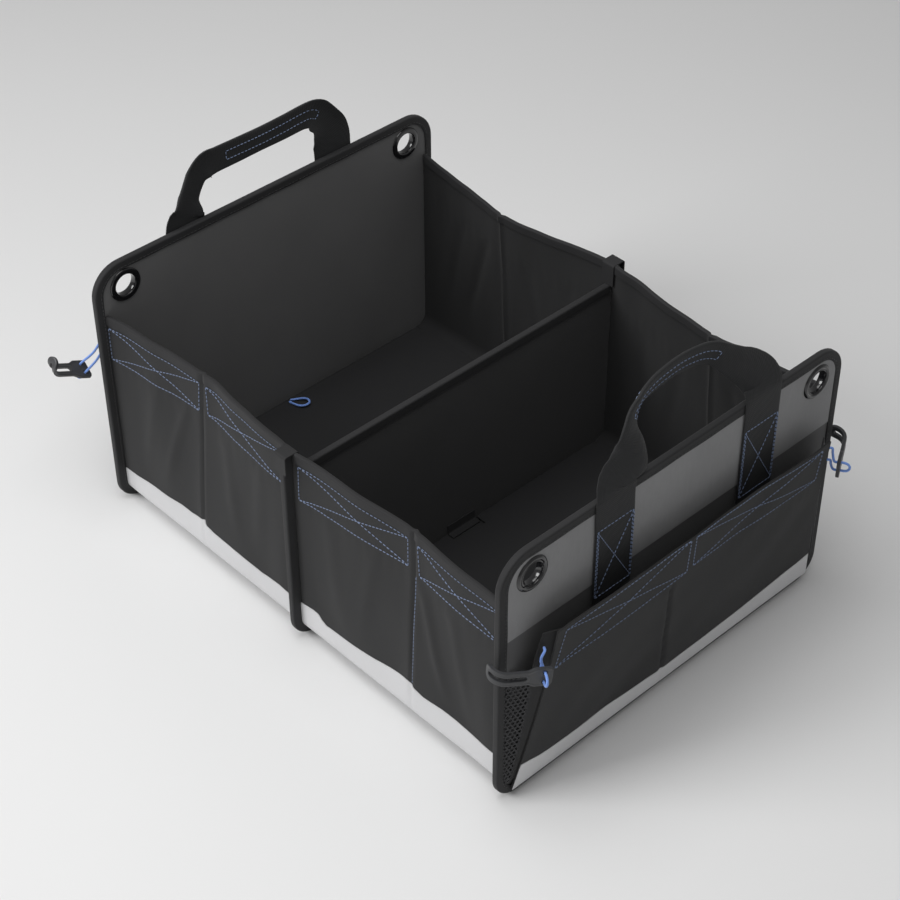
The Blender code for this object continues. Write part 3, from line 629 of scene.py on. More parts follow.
TUCKED = ((0.3240, -0.1943, 0.1735), (-0.497, -0.862, 0.100), (0.0, 0.0, 1.0))
FLUNG = ((0.3020, -0.2339, 0.1746), (-0.028, -0.889, 0.457), (0.907, 0.170, 0.385))
TUCKED_STRANDS = (((0.3128, -0.1987, 0.1880),), ((0.3125, -0.1987, 0.1735),))
FLUNG_STRANDS = (((0.3120, -0.2050, 0.1955), (0.3035, -0.2240, 0.1905)),
                 ((0.3100, -0.2060, 0.1835), (0.2990, -0.2255, 0.1825)))
HOOK_SPOTS = {(1, -1): (TUCKED, TUCKED_STRANDS), (1, 1): (TUCKED, TUCKED_STRANDS),
              (-1, 1): (TUCKED, TUCKED_STRANDS), (-1, -1): (FLUNG, FLUNG_STRANDS)}


def hook_frame(place):
    """Matrix of a hook's own frame: X runs to the tip, Z up its cord edge, it bends toward -Y."""
    origin, run, rise = (Vector(part) for part in place)
    run.normalize()
    side = rise.cross(run).normalized()
    turn = Matrix((run, side, run.cross(side))).transposed().to_4x4()
    return np.array(Matrix.Translation(origin) @ turn)


HOOK_FLAT, HOOK_BEND = 0.040, 0.0145
CORD_HOLE_AT, CORD_HOLE_RISE = 0.0085, 0.0055


def elastic(sign_x, sign_y):
    """From the gusset through the hook's upper hole, round, and back through the lower one."""
    place, (first, second) = HOOK_SPOTS[sign_x, sign_y]
    half = CORD_HOLE_RISE
    ways = [(-0.005, half), (0.0, half), (0.005, half)]
    ways += [(0.005 + half * math.sin(a), half * math.cos(a)) for a in np.radians((36, 72, 108, 144))]
    ways += [(0.005, -half), (0.0, -half), (-0.005, -half)]
    through = [(hook_frame(place) @ (CORD_HOLE_AT, w, v, 1.0))[:3] for w, v in ways]
    starts = [gusset_place(0.93, 0.80, off) for off in (0.0005, 0.0050)]
    ends = [gusset_place(0.84, 0.80, off) for off in (0.0050, 0.0005)]
    route = np.array([*starts, *first, *through, *second[::-1], *ends]) * (sign_x, -sign_y, 1)
    return cord_piece(f"elastic_cord_{corner_name(sign_x, sign_y)}", route, "box")


print("pull loops:", [round(pull_loop(sign), 4) for sign in (1, -1)])
elastics = {spot: elastic(*spot) for spot in HOOK_SPOTS}
print("elastics:", {spot: round(length, 4) for spot, (piece, line, length) in elastics.items()})

# %% [markdown]
# A hook is a moulded plate, bent round at its tip, with a slot and two cord holes. The outline is filled
# with triangles, each point is lifted by its distance from the nearest edge, which gives the raised rim,
# and then the whole plate is bent. The same fill cuts every other flat piece on the box.

# %% Flat pieces cut to an outline


def corner_arc(centre, radius, start, end, steps):
    """Points on an arc, both ends included, angles in degrees."""
    turn = np.radians(np.linspace(start, end, steps + 1))
    return np.column_stack([centre[0] + radius * np.cos(turn), centre[1] + radius * np.sin(turn)])


def densify(loop, step):
    """Split a closed outline's long edges into equal parts near one step."""
    following = np.roll(loop, -1, axis=0)
    parts = np.maximum(1, np.round(np.linalg.norm(following - loop, axis=1) / step).astype(int))
    return np.vstack([a + (b - a) * np.arange(n)[:, None] / n for a, b, n in zip(loop, following, parts)])


def edge_distance(points, loops):
    """How far each point lies from the nearest outline, and whether it is inside the sheet."""
    inside = np.zeros(len(points), bool)
    nearest = np.full(len(points), 9.0)
    for loop in loops:
        a, b = loop, np.roll(loop, -1, axis=0)
        run = b - a
        t = ((points[:, None] - a) * run).sum(-1) / np.maximum((run ** 2).sum(-1), 1e-18)
        gap = points[:, None] - a - np.clip(t, 0, 1)[..., None] * run
        nearest = np.minimum(nearest, np.linalg.norm(gap, axis=-1).min(axis=1))
        rise = np.where(run[:, 1] == 0, 1e-12, run[:, 1])
        crosses = (a[:, 1] > points[:, None, 1]) != (b[:, 1] > points[:, None, 1])
        left = points[:, None, 0] < a[:, 0] + (points[:, None, 1] - a[:, 1]) * run[:, 0] / rise
        inside ^= (crosses & left).sum(axis=1) % 2 == 1
    return nearest, inside


def plate_piece(name, loops, step, place, finish, slot, inner=None, **more):
    """Fill an outline and its holes with triangles, twice, and join the two faces round each edge.
    place(points, distance, side) gives the position of each flat point on the side +1 or -1."""
    inner = inner or step
    loops = [densify(np.asarray(loop, float), step) for loop in loops]
    low, high = loops[0].min(0), loops[0].max(0)
    fill = np.stack(np.meshgrid(*(np.arange(a + inner / 2, b, inner) for a, b in zip(low, high))), -1)
    fill = fill.reshape(-1, 2)
    away, inside = edge_distance(fill, loops)
    flat = np.vstack([*loops, fill[inside & (away > 0.55 * min(step, inner))]])
    ends = np.cumsum([0] + [len(loop) for loop in loops])
    edges = [(int(a + k), int(a + (k + 1) % (b - a))) for a, b in zip(ends, ends[1:]) for k in range(b - a)]
    spots, _, cells, *_ = delaunay_2d_cdt([Vector(p) for p in flat], edges, [], 2, 1e-7)
    spots, cells = np.array([tuple(p) for p in spots]), np.array([c for c in cells if len(c) == 3])
    cells = cells[edge_distance(spots[cells].mean(axis=1), loops)[1]]
    away, _ = edge_distance(spots, loops)
    count = len(spots)
    points = np.vstack([place(spots, away, 1), place(spots, away, -1)])
    one_way = {(int(a), int(b)) for c in cells for a, b in zip(c, np.roll(c, -1))}
    rim = [(a, b) for a, b in one_way if (b, a) not in one_way]
    faces = cells.tolist() + (cells[:, ::-1] + count).tolist()
    faces += [[b, a, a + count, b + count] for a, b in sorted(rim)]
    uv = np.vstack([spots, spots])[np.concatenate([np.array(f) for f in faces])]
    return make_piece(name, points, faces, uv, finish, slot, **more)


# %% [markdown]
# The four hooks are one moulding. It is drawn flat, with its slot and cord holes, and then bent, because a
# flat outline is easy to draw and the bend is one formula. Each is then put where its cord ends.

# %% Hooks
def hook_loops():
    """The hook laid flat: its outline, its slot and its two cord holes."""
    whole = HOOK_FLAT + HOOK_BEND * math.radians(105)
    tip, tall = 0.0075, 0.0105
    lower = [(0.0010, -tall + 0.0030), (0.0030, -tall), (0.0165, -tall), (0.0185, -tall + 0.0006),
             (0.0205, -tip - 0.0012), (0.0225, -tip - 0.0002), (0.0245, -tip)]
    upper = [(u, -v) for u, v in lower[::-1]]
    outline = np.vstack([lower, corner_arc((whole - tip, 0), tip, -90, 90, 14), upper])
    slot = np.vstack([corner_arc((0.0266, 0), 0.0026, 90, 270, 8),
                      corner_arc((whole - 0.0091, 0), 0.0026, -90, 90, 8)])
    holes = [corner_arc((CORD_HOLE_AT, side * CORD_HOLE_RISE), 0.0022, 0, 345, 23) for side in (-1, 1)]
    return [outline, slot, *holes]


def hook_piece(sign_x, sign_y):
    """Bend the flat hook: past its flat part, a length becomes an angle about the bend's centre."""
    matrix = hook_frame(HOOK_SPOTS[sign_x, sign_y][0])

    def place(flat, away, side):
        rim = np.clip((0.0026 - away) / 0.0012, 0, 1)
        soft = np.clip(away / 0.0005, 0, 1)
        half = 0.00135 + 0.00045 * rim - 0.00035 * (1 - soft) ** 2
        u, v, w = flat[:, 0], flat[:, 1], side * half
        turn = np.maximum(u - HOOK_FLAT, 0) / HOOK_BEND
        reach = HOOK_BEND + w
        bent = np.stack([np.where(turn > 0, HOOK_FLAT + reach * np.sin(turn), u),
                         w - reach * (1 - np.cos(turn)), v, np.ones_like(u)], axis=-1)
        return (bent @ matrix.T)[:, :3] * (sign_x, -sign_y, 1)

    where = corner_name(sign_x, sign_y)
    piece = plate_piece(f"moulded_hook_{where}", hook_loops(), 0.0009, place, hook_plastic,
                        "hook_plastic", sharp=55)
    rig.replaces(piece, f"hook_{where}")
    cord, line, length = elastics[sign_x, sign_y]
    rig.replaces(cord, f"elastic_{where}")
    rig.cord(cord, exit=line[0], length=length, diameter=CORD, far_end="object", stiffness="limp",
            lay="taut", path=line, with_pieces=[piece])
    return len(piece.data.polygons)


print("hook faces:", [hook_piece(*spot) for spot in HOOK_SPOTS])

# %% [markdown]
# The side cloth hangs between the bound walls and is folded in at a seam in the middle of each bay. Its
# shape is a flat panel with a rounded foot, carried inwards by a soft V, with shallow waves, a groove at
# the seam and puckers below the stitched bands. The strip, the tape and the thread use the same shape.

# %% Side panels
PANELS = {("left", "far"): dict(lean=0.0150, sag=0.0030, seam=0.1470, seed=3),
          ("left", "near"): dict(lean=0.0100, sag=0.0020, seam=0.1612, seed=11),
          ("right", "far"): dict(lean=0.0160, sag=0.0060, seam=0.1460, seed=23),
          ("right", "near"): dict(lean=0.0140, sag=0.0040, seam=0.1500, seed=31)}


def folded_in(a, seam):
    """1 at the seam and 0 at both ends of a bay, as two straight slopes with a soft ridge."""
    span = np.where(a < seam, seam - BAY_START, BAY_END - seam)
    away = np.clip(np.abs(a - seam) / span, 0, 1)
    return 1 - (np.sqrt(away ** 2 + 0.0016) - 0.04) / (math.sqrt(1.0016) - 0.04)


# Slanting folds below the bands: start along the bay, slope, width and depth
FOLDS = ((0.172, 0.30, 0.007, 0.0020), (0.214, 0.22, 0.008, 0.0012),
         (0.112, -0.16, 0.009, 0.0013), (0.050, 0.10, 0.010, 0.0012))


def hang(a, y, z, panel, sign_x, sign_y):
    """Carry points of the flat panel to where the cloth hangs: y less the lean, plus the waves."""
    high = np.clip((z - FOOT_RADIUS) / (SIDE_TOP - FOOT_RADIUS), 0, 1.03)
    fold = folded_in(a, panel["seam"])
    level = np.minimum(z, 0.2325)
    ends = np.clip(np.minimum(a - BAY_START, BAY_END - a) / 0.022, 0, 1) ** 0.8
    fade = ends * np.clip((z - 0.012) / 0.05, 0, 1)
    seam_gap = a - panel["seam"] - 0.003 * (1 - high)
    wave = (0.0030 * smooth_waves(panel["seed"], a, level * 0.45, 0.085)
            + 0.0006 * smooth_waves(panel["seed"] + 1, a, level * 0.4, 0.040)
            + 0.00012 * np.sin(2 * np.pi * a / 0.0135 + panel["seed"])
            * np.exp(-((level - 0.188) / 0.013) ** 2))
    for start, slope, size, depth in FOLDS:
        away = a - start - slope * (0.19 - level)
        wave = (wave + depth * np.exp(-(away / size) ** 2) * np.clip((0.195 - level) / 0.02, 0, 1)
                * np.clip((level - 0.06) / 0.05, 0, 1))
    groove = 0.0012 * np.exp(-(seam_gap / 0.010) ** 2) - 0.0023 * np.exp(-(seam_gap / 0.0024) ** 2)
    y = y - panel["lean"] * fold * high ** 1.12 + fade * (wave + groove)
    z = z - panel["sag"] * fold * high ** 2
    return np.stack([sign_x * a, sign_y * y, z], axis=-1)


def knee_section(run, offset):
    """(y, z) at a distance round the rounded foot and up the side, at an offset out from the cloth."""
    turn = np.clip(run / KNEE_RADIUS, 0, np.pi / 2) - np.pi / 2
    y = SIDE_OUT - KNEE_RADIUS + (KNEE_RADIUS + offset) * np.cos(turn)
    z = KNEE + (KNEE_RADIUS + offset) * np.sin(turn) + np.maximum(run - KNEE_RUN, 0)
    return y, z


# The strip's wavy upper edge: places along the bay, and the height at each
STRIP_EDGE = {"far": ((0.004, 0.0142, 0.0289, 0.0579, 0.0946, 0.1341,
                       0.1462, 0.1480, 0.1715, 0.1893, 0.2127, 0.2837),
                      (0.0465, 0.0480, 0.0495, 0.0450, 0.0480, 0.0490,
                       0.0520, 0.0560, 0.0510, 0.0520, 0.0500, 0.0445)),
              "near": ((0.004, 0.0201, 0.0289, 0.0331, 0.0403, 0.0640, 0.1129,
                        0.1600, 0.1625, 0.1802, 0.2043, 0.2323, 0.2837),
                       (0.0490, 0.0500, 0.0490, 0.0450, 0.0420, 0.0450, 0.0500,
                        0.0575, 0.0555, 0.0505, 0.0520, 0.0500, 0.0500))}


def side_panel(side, end):
    """One bay's cloth on one side, its reflective strip and the folded tape on its top edge."""
    panel, sign_x, sign_y = PANELS[side, end], SIGN[end], SIGN[side]
    along = np.linspace(BAY_START, BAY_END, 121)
    full = KNEE_RUN + SIDE_TOP - KNEE
    where = f"{side}_{end}"

    def surface(a, run, offset):
        y, z = knee_section(run, offset)
        return hang(a, y, z, panel, sign_x, sign_y)

    a, run = np.meshgrid(along, np.linspace(0, full, 96), indexing="ij")
    cloth = sheet_piece(f"side_cloth_{where}", surface(a, run, 0.0), surface(a, run, -CLOTH),
                        np.stack([a, run], -1), charcoal_cloth, "charcoal_cloth")
    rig.replaces(cloth, f"side_wall_{where}")

    along = np.linspace(BAY_START, TAPE_IN - GAP, 141)
    top = np.interp(along, *STRIP_EDGE[end]) - KNEE + KNEE_RUN
    a, share = np.meshgrid(along, np.linspace(0, 1, 15), indexing="ij")
    run = share * top[:, None]
    strip = sheet_piece(f"strip_{where}", surface(a, run, GAP + FACING * 0.6), surface(a, run, GAP * 0.4),
                        np.stack([a, run], -1), reflective_cloth, "reflective_cloth")
    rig.replaces(strip, f"reflective_strip_{where}")

    section = folded_tape((SIDE_OUT - SIDE_IN) / 2 + GAP + TAPE, 0.0100)
    a = np.linspace(0.0083, TAPE_IN - GAP, 100)
    middle, high = (SIDE_OUT + SIDE_IN) / 2, SIDE_TOP + GAP + TAPE
    a, across = np.meshgrid(a, section[:, 0], indexing="ij")
    points = hang(a, middle + across, high - section[None, :, 1] + a * 0, panel, sign_x, sign_y)
    ring = run_of(np.vstack([section, section[:1]]))
    uv = np.stack(np.meshgrid(a[:, 0], ring, indexing="ij"), axis=-1)
    tape = grid_piece(f"top_tape_{where}", points, uv, black_tape, "black_tape", wrap=(False, True),
                      caps="strip")
    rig.replaces(tape, f"side_binding_{where}")
    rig.sheet(cloth, flat=(0.280, 0.241), held="stretched", rests_on=["divider_wall", f"end_wall_{end}"],
             with_pieces=[strip, tape])
    return cloth


def folded_tape(half, lap, thick=TAPE, steps=7):
    """Section of tape folded over an edge: (across, deep) round a U with a rounded fold."""
    turn = min(half - 0.0003, 0.0020)
    outside = np.vstack([[(-half, lap)], corner_arc((-half + turn, turn), turn, 180, 270, steps),
                         corner_arc((half - turn, turn), turn, 270, 360, steps), [(half, lap)]])
    small = max(turn - thick, 0.0003)
    inside = np.vstack([[(half - thick, lap)],
                        corner_arc((half - thick - small, thick + small), small, 360, 270, steps),
                        corner_arc((-half + thick + small, thick + small), small, 270, 180, steps),
                        [(-half + thick, lap)]])
    return np.vstack([outside, inside])


side_cloths = {key: side_panel(*key) for key in PANELS}
print("side panels:", [piece.name for piece in side_cloths.values()])

# %% [markdown]
# Sewing is real thread here: each stitch is a small bent pill that dips into the cloth at both ends. The
# long sides carry four stitched bands, each a four-sided row with both diagonals.

# %% Thread
PILL_ALONG = np.array([-0.5, -0.3, 0.3, 0.5])
PILL_WIDE = np.array([0.35, 1.0, 1.0, 0.35])


def thread_piece(name, runs, place, finish=blue_thread, slot="blue_elastic", pitch=0.0046, length=0.0033,
                 radius=0.00044, body="box"):
    """Stitches along flat lines. place(points, offset) gives the positions on the cloth."""
    heads, tails, raised = [], [], []
    for run in runs:
        run = np.asarray(run, float)
        along = run_of(run)
        count = max(1, int(along[-1] / pitch))
        middle = (np.arange(count) + 0.5) * along[-1] / count
        spots = [np.column_stack([np.interp(middle + step, along, run[:, k]) for k in range(2)])
                 for step in (-length / 2, length / 2, 0.0)]
        heads.append(place(spots[0], radius * 0.6))
        tails.append(place(spots[1], radius * 0.6))
        raised.append(place(spots[2], 0.004) - place(spots[2], 0.0))
    heads, tails, out = np.vstack(heads), np.vstack(tails), unit(np.vstack(raised))
    run, middle = tails - heads, (tails + heads) / 2
    side = np.cross(unit(run), out)
    turn = np.linspace(0, 2 * np.pi, 5, endpoint=False)
    dip = radius * (0.3 - 3.2 * PILL_ALONG ** 2)
    points = (middle[:, None, None] + run[:, None, None] * PILL_ALONG[None, :, None, None]
              + out[:, None, None] * (dip[None, :, None, None]
                                      + radius * (PILL_WIDE[:, None] * np.sin(turn))[None, ..., None])
              + side[:, None, None] * radius * (PILL_WIDE[:, None] * np.cos(turn))[None, ..., None])
    quads = [[i * 5 + j, i * 5 + (j + 1) % 5, (i + 1) * 5 + (j + 1) % 5, (i + 1) * 5 + j]
             for i in range(3) for j in range(5)]
    starts = 20 * np.arange(len(middle))
    faces = (np.array(quads)[None] + starts[:, None, None]).reshape(-1, 4).tolist()
    faces += (np.arange(5)[None, ::-1] + starts[:, None]).tolist()
    faces += (np.arange(15, 20)[None] + starts[:, None]).tolist()
    flat = np.stack(np.meshgrid(PILL_ALONG * length, turn * radius, indexing="ij"), -1).reshape(-1, 2)
    uv = np.tile(flat, (len(middle), 1))[np.concatenate([np.array(f) for f in faces])]
    return make_piece(name, points.reshape(-1, 3), faces, uv, finish, slot, body=body, sharp=75)


def crossed(top_left, low_left, low_right, top_right):
    """A four-sided row of stitches with both diagonals."""
    return [(top_left, low_left), (low_left, low_right), (low_right, top_right), (top_right, top_left),
            (top_left, low_right), (low_left, top_right)]


def straight_runs(bands):
    """Flat points from end to end of each stitched line."""
    return [np.column_stack([np.linspace(p[k], q[k], 60) for k in range(2)])
            for band in bands for p, q in band]


BANDS = {"far": [crossed((0.2815, 0.2290), (0.2815, 0.1900), (0.1525, 0.1950), (0.1515, 0.2300)),
                 crossed((0.1420, 0.2300), (0.1390, 0.1970), (0.0150, 0.1925), (0.0140, 0.2295))],
         "near": [crossed((0.0120, 0.2295), (0.0110, 0.1880), (0.1540, 0.1970), (0.1530, 0.2300)),
                  crossed((0.1660, 0.2300), (0.1700, 0.1950), (0.2815, 0.1930), (0.2800, 0.2300))]}


def band_thread(side, end):
    panel, sign_x, sign_y = PANELS[side, end], SIGN[end], SIGN[side]

    def place(flat, offset):
        return hang(flat[:, 0], SIDE_OUT + offset + flat[:, 0] * 0, flat[:, 1], panel, sign_x, sign_y)

    runs = straight_runs(BANDS[end])
    if end == "near":
        runs += straight_runs([[((panel["seam"] + 0.0042, 0.192), (panel["seam"] + 0.0030, 0.056))]])
    return thread_piece(f"band_thread_{side}_{end}", runs, place)


print("band stitches:", [len(band_thread(*key).data.polygons) // 17 for key in PANELS])

# %% [markdown]
# The stiff walls are covered boards. A board is one plate with its eyelet holes cut out, and the tape is
# a U-shaped section carried round its edge. The tape of the end walls is a closed loop; the divider's
# runs from one ear down, under and up to the other.

# %% End walls and their tape


def wall_line(inset, step=0.008):
    """(y, z) round a wall with round corners, drawn in by an inset, and the way in at each point."""
    side, high = HALF_WIDTH, END_HEIGHT
    corners = [((side - TOP_RADIUS, high - TOP_RADIUS), TOP_RADIUS, 0),
               ((TOP_RADIUS - side, high - TOP_RADIUS), TOP_RADIUS, 90),
               ((FOOT_RADIUS - side, FOOT_RADIUS), FOOT_RADIUS, 180),
               ((side - FOOT_RADIUS, FOOT_RADIUS), FOOT_RADIUS, 270)]
    spots, inward = [], []
    for k, (centre, radius, start) in enumerate(corners):
        turn = np.radians(np.linspace(start, start + 90, 11))
        ring = np.column_stack([np.cos(turn), np.sin(turn)])
        spots.append(np.array(centre) + ring * radius)
        inward.append(-ring)
        centre, radius, start = corners[(k + 1) % 4]
        turn = math.radians(start)
        following = np.array(centre) + radius * np.array([math.cos(turn), math.sin(turn)])
        here = spots[-1][-1]
        count = int(np.linalg.norm(following - here) / step)
        share = (np.arange(1, count) / count)[:, None]
        spots.append(here + (following - here) * share)
        inward.append(np.tile(inward[-1][-1], (count - 1, 1)))
    spots, inward = np.vstack(spots), np.vstack(inward)
    flat = spots + inward * inset
    flat[:, 1] += np.where(spots[:, 1] < 0.001, FOOT_BOW * (1 - np.abs(spots[:, 0]) / 0.201), 0)
    return flat, inward


def uneven_lap(turn):
    """Hand-sewn tape laps a little more here and less there: a sine of 3 % round 1."""
    return (1 + 0.03 * np.sin(turn))[:, None]


ALONG_X, UPWARD = (1.0, 0, 0), (0, 0, 1.0)
EYELETS = [(side * EYELET_Y, EYELET_Z) for side in (-1, 1)]


def end_wall(sign):
    """Board, light facing and tape of one end wall, and the rows of thread along the tape."""
    end = end_name(sign)
    holes = [corner_arc(spot, EYELET_HOLE, 0, 352.5, 47) for spot in EYELETS]
    middle, half = (BOARD_OUT + BOARD_IN) / 2, BOARD / 2

    def on_board(flat, away, side):
        soft = 0.0004 * smooth_waves(5 + sign, flat[:, 0], flat[:, 1], 0.12) * np.clip(away / 0.03, 0, 1)
        edge = 0.0008 * np.clip(1 - away / 0.002, 0, 1) ** 2
        return np.column_stack([sign * (middle + side * (half - edge) + soft), flat])

    # The board's cloth is painted lighter, as painted light on the wall's faces.
    board = plate_piece(f"wall_board_{end}", [wall_line(EDGE_INSET)[0], *holes], 0.010, on_board,
                        lining_and_painted_light, "charcoal_cloth")
    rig.replaces(board, f"end_wall_{end}")

    line = wall_line(TAPE_LAP + GAP)[0]
    upper = line[line[:, 1] > FACING_CUT]
    first = int(np.argmax(np.roll(line[:, 1] > FACING_CUT, 1) < (line[:, 1] > FACING_CUT)))
    upper = np.roll(line, -first, axis=0)[:len(upper)]
    side = HALF_WIDTH - TAPE_LAP - GAP

    def on_facing(flat, away, side):
        soft = 0.0002 * smooth_waves(9 + sign, flat[:, 0], flat[:, 1], 0.05)
        return np.column_stack([sign * (BOARD_OUT + GAP + FACING / 2 + side * FACING / 2
                                        + (soft if side > 0 else 0) + flat[:, 0] * 0), flat])

    outline = np.vstack([upper, [(-side, FACING_FOOT), (side, FACING_FOOT)]])
    facing = plate_piece(f"facing_{end}", [outline, *holes], 0.010, on_facing, light_cloth, "light_cloth")
    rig.replaces(facing, f"end_facing_{end}")

    spots, inward = wall_line(0.0)
    section = folded_tape((HALF_LENGTH - TAPE_IN) / 2, TAPE_LAP)
    centre = sign * (HALF_LENGTH + TAPE_IN) / 2
    path = np.column_stack([np.full(len(spots), centre), spots])
    depth = np.column_stack([np.zeros(len(spots)), inward])
    depth *= uneven_lap(run_of(path) * 95.0)
    tape = sweep_piece(f"wall_tape_{end}", path, ALONG_X, depth, section, black_tape, "black_tape",
                       closed=True)
    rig.replaces(tape, f"end_binding_{end}")

    seam = wall_line(TAPE_LAP - 0.0022)[0]
    seam = np.vstack([seam, seam[:1]])
    for where, level in (("outer", HALF_LENGTH), ("inner", -TAPE_IN)):
        def place(flat, offset):
            return np.column_stack([np.full(len(flat), sign * abs(level + offset)), flat])

        thread_piece(f"tape_thread_{where}_{end}", [seam], place, black_thread, "black_tape",
                     radius=0.0003)
    return tape


print("end walls:", [end_wall(sign).name for sign in (1, -1)])


# %% [markdown]
# The divider is the same round-cornered board, cut off below the side walls' top, where two narrow ears
# stand up. Its tape runs down one ear, under and up the other, and one more length covers the top. A short
# tape hangs over each side wall. All three are the same folded section carried along a path.

# %% Divider, its tape and the two centre tabs
BOARD_CUT, TAPE_CUT = 0.235, 0.238


def divider_pieces():
    """The middle wall with its two ears, the tape round its edge and over its top."""
    outline = wall_line(EDGE_INSET)[0]
    below = outline[:, 1] < BOARD_CUT
    start = int(np.argmax(below & ~np.roll(below, 1)))
    lower = np.roll(outline, -start, axis=0)[:int(below.sum())] + (0, DIVIDER_LIFT)
    side, top = HALF_WIDTH - EDGE_INSET, DIVIDER_TOP - EDGE_INSET
    shape = np.vstack([[(-side, SIDE_TOP)], lower, [(side, SIDE_TOP), (EAR_IN, SIDE_TOP), (EAR_IN, top),
                                                    (-EAR_IN, top), (-EAR_IN, SIDE_TOP)]])

    def on_board(flat, away, side):
        soft = 0.0004 * smooth_waves(41, flat[:, 0], flat[:, 1], 0.10) * np.clip(away / 0.03, 0, 1)
        return np.column_stack([side * BOARD / 2 + soft, flat])

    # The divider's cloth is painted lighter, as painted light on its faces.
    board = plate_piece("middle_board", [shape], 0.010, on_board, divider_cloth, "charcoal_cloth")
    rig.replaces(board, "divider_wall")

    spots, inward = wall_line(0.0)
    below = spots[:, 1] < TAPE_CUT
    start, keep = int(np.argmax(below & ~np.roll(below, 1))), int(below.sum())
    spots, inward = np.roll(spots, -start, 0)[:keep], np.roll(inward, -start, 0)[:keep]
    spots[:, 1] += DIVIDER_LIFT
    spots = np.vstack([[(-HALF_WIDTH, SIDE_TOP)], spots, [(HALF_WIDTH, SIDE_TOP)]])
    inward = np.vstack([inward[:1], inward, inward[-1:]])
    path = np.column_stack([np.zeros(len(spots)), spots])
    depth = np.column_stack([np.zeros(len(spots)), inward]) * uneven_lap(run_of(path) * 88.0)
    section = folded_tape(DIVIDER_TAPE_OUT, TAPE_LAP)
    edge = sweep_piece("middle_tape_edge", path, ALONG_X, depth, section, black_tape, "black_tape")
    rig.replaces(edge, "divider_edge_binding")

    y = np.linspace(-EAR_IN + GAP, EAR_IN - GAP, 90)
    path = np.column_stack([y * 0, y, DIVIDER_TOP + y * 0])
    depth = np.tile((0, 0, -1.0), (len(y), 1)) * uneven_lap(y * 90.0)
    top = sweep_piece("middle_tape_top", path, ALONG_X, depth, section, black_tape, "black_tape")
    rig.replaces(top, "divider_top_binding")


def centre_tab(sign_y):
    """Tape over a side wall's top at the divider: a rounded hook section carried across its width."""
    out, inside, under = HALF_WIDTH + GAP, EAR_IN - GAP, SIDE_TOP + GAP
    ridge = under + TAPE
    low, r, big = SIDE_TOP - 0.020, 0.0015, 0.0027
    outer = np.vstack([[(out + TAPE, low)], corner_arc((out - r, ridge - big), big, 0, 90, 6),
                       corner_arc((inside + r, ridge - big), big, 90, 180, 6),
                       [(inside - TAPE, DIVIDER_TOP + GAP)]])
    inner = np.vstack([[(inside, DIVIDER_TOP + GAP)], corner_arc((inside + r, under - r), r, 180, 90, 6),
                       corner_arc((out - r, under - r), r, 90, 0, 6), [(out, low)]])
    x = np.linspace(-0.008, 0.008, 9)
    tab = sweep_piece(f"tab_{side_name(sign_y)}", np.column_stack([x, x * 0, x * 0]), (0, sign_y, 0), UPWARD,
                      np.vstack([outer, inner]), black_tape, "black_tape")
    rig.replaces(tab, f"centre_tab_{side_name(sign_y)}")


divider_pieces()
for sign_y in (-1, 1):
    centre_tab(sign_y)
print("divider and tabs made")


# %% [markdown]
# An eyelet is pressed metal in two halves, round in plan. One profile turned about the hole's middle gives
# the domed flange outside, the barrel through the wall and the flat washer inside.

# %% Eyelets
def eyelet_piece(sign, y, z):
    """Turn a profile of (radius, x) right round the hole's middle."""
    front, back = FACE_OUT + GAP * 0.3, BOARD_IN - GAP * 0.3
    dome = corner_arc((0.0158, front + 0.0004), 0.0026, 150, 20, 8) * (1, 0) + np.column_stack(
        [np.zeros(9), front + 0.0002 + 0.0020 * np.sin(np.linspace(0.15, 0.95, 9) * np.pi)])
    profile = np.vstack([[(0.0120, back - 0.0006), (0.0120, front + 0.0008), (0.0124, front + 0.0016)], dome,
                         [(0.0184, front + 0.0003), (0.0185, front), (0.0136, front), (0.0136, back),
                          (0.0185, back), (0.0182, back - 0.0007), (0.0174, back - 0.0013),
                          (0.0132, back - 0.0014), (0.0124, back - 0.0011)]])
    turn = np.linspace(0, 2 * np.pi, 72, endpoint=False)
    points = np.stack([np.tile(sign * profile[:, 1], (72, 1)),
                       y + np.outer(np.cos(turn), profile[:, 0]),
                       z + np.outer(np.sin(turn), profile[:, 0])], -1)
    ring = run_of(np.vstack([profile, profile[:1]]))
    uv = np.stack(np.meshgrid(np.linspace(0, 0.1, 73), ring, indexing="ij"), axis=-1)
    where = corner_name(sign, y)
    piece = grid_piece(f"turned_eyelet_{where}", points, uv, eyelet_black, "eyelet_black",
                       wrap=(True, True))
    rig.replaces(piece, f"eyelet_{where}")
    return len(piece.data.polygons)


print("eyelet faces:", [eyelet_piece(sign, y, z) for sign in (1, -1) for y, z in EYELETS])

# %% [markdown]
# An end pocket is a leaning front with a reflective strip and stitched bands, and two mesh gussets that
# join its sides to the wall. The front's side edges are pulled in a little halfway up.

# %% Pockets


def pocket_seam(z):
    """y of the crease that divides the pocket front: a slanting line under the bands."""
    return -0.0306 + (0.162 - z) / 0.133 * 0.0166


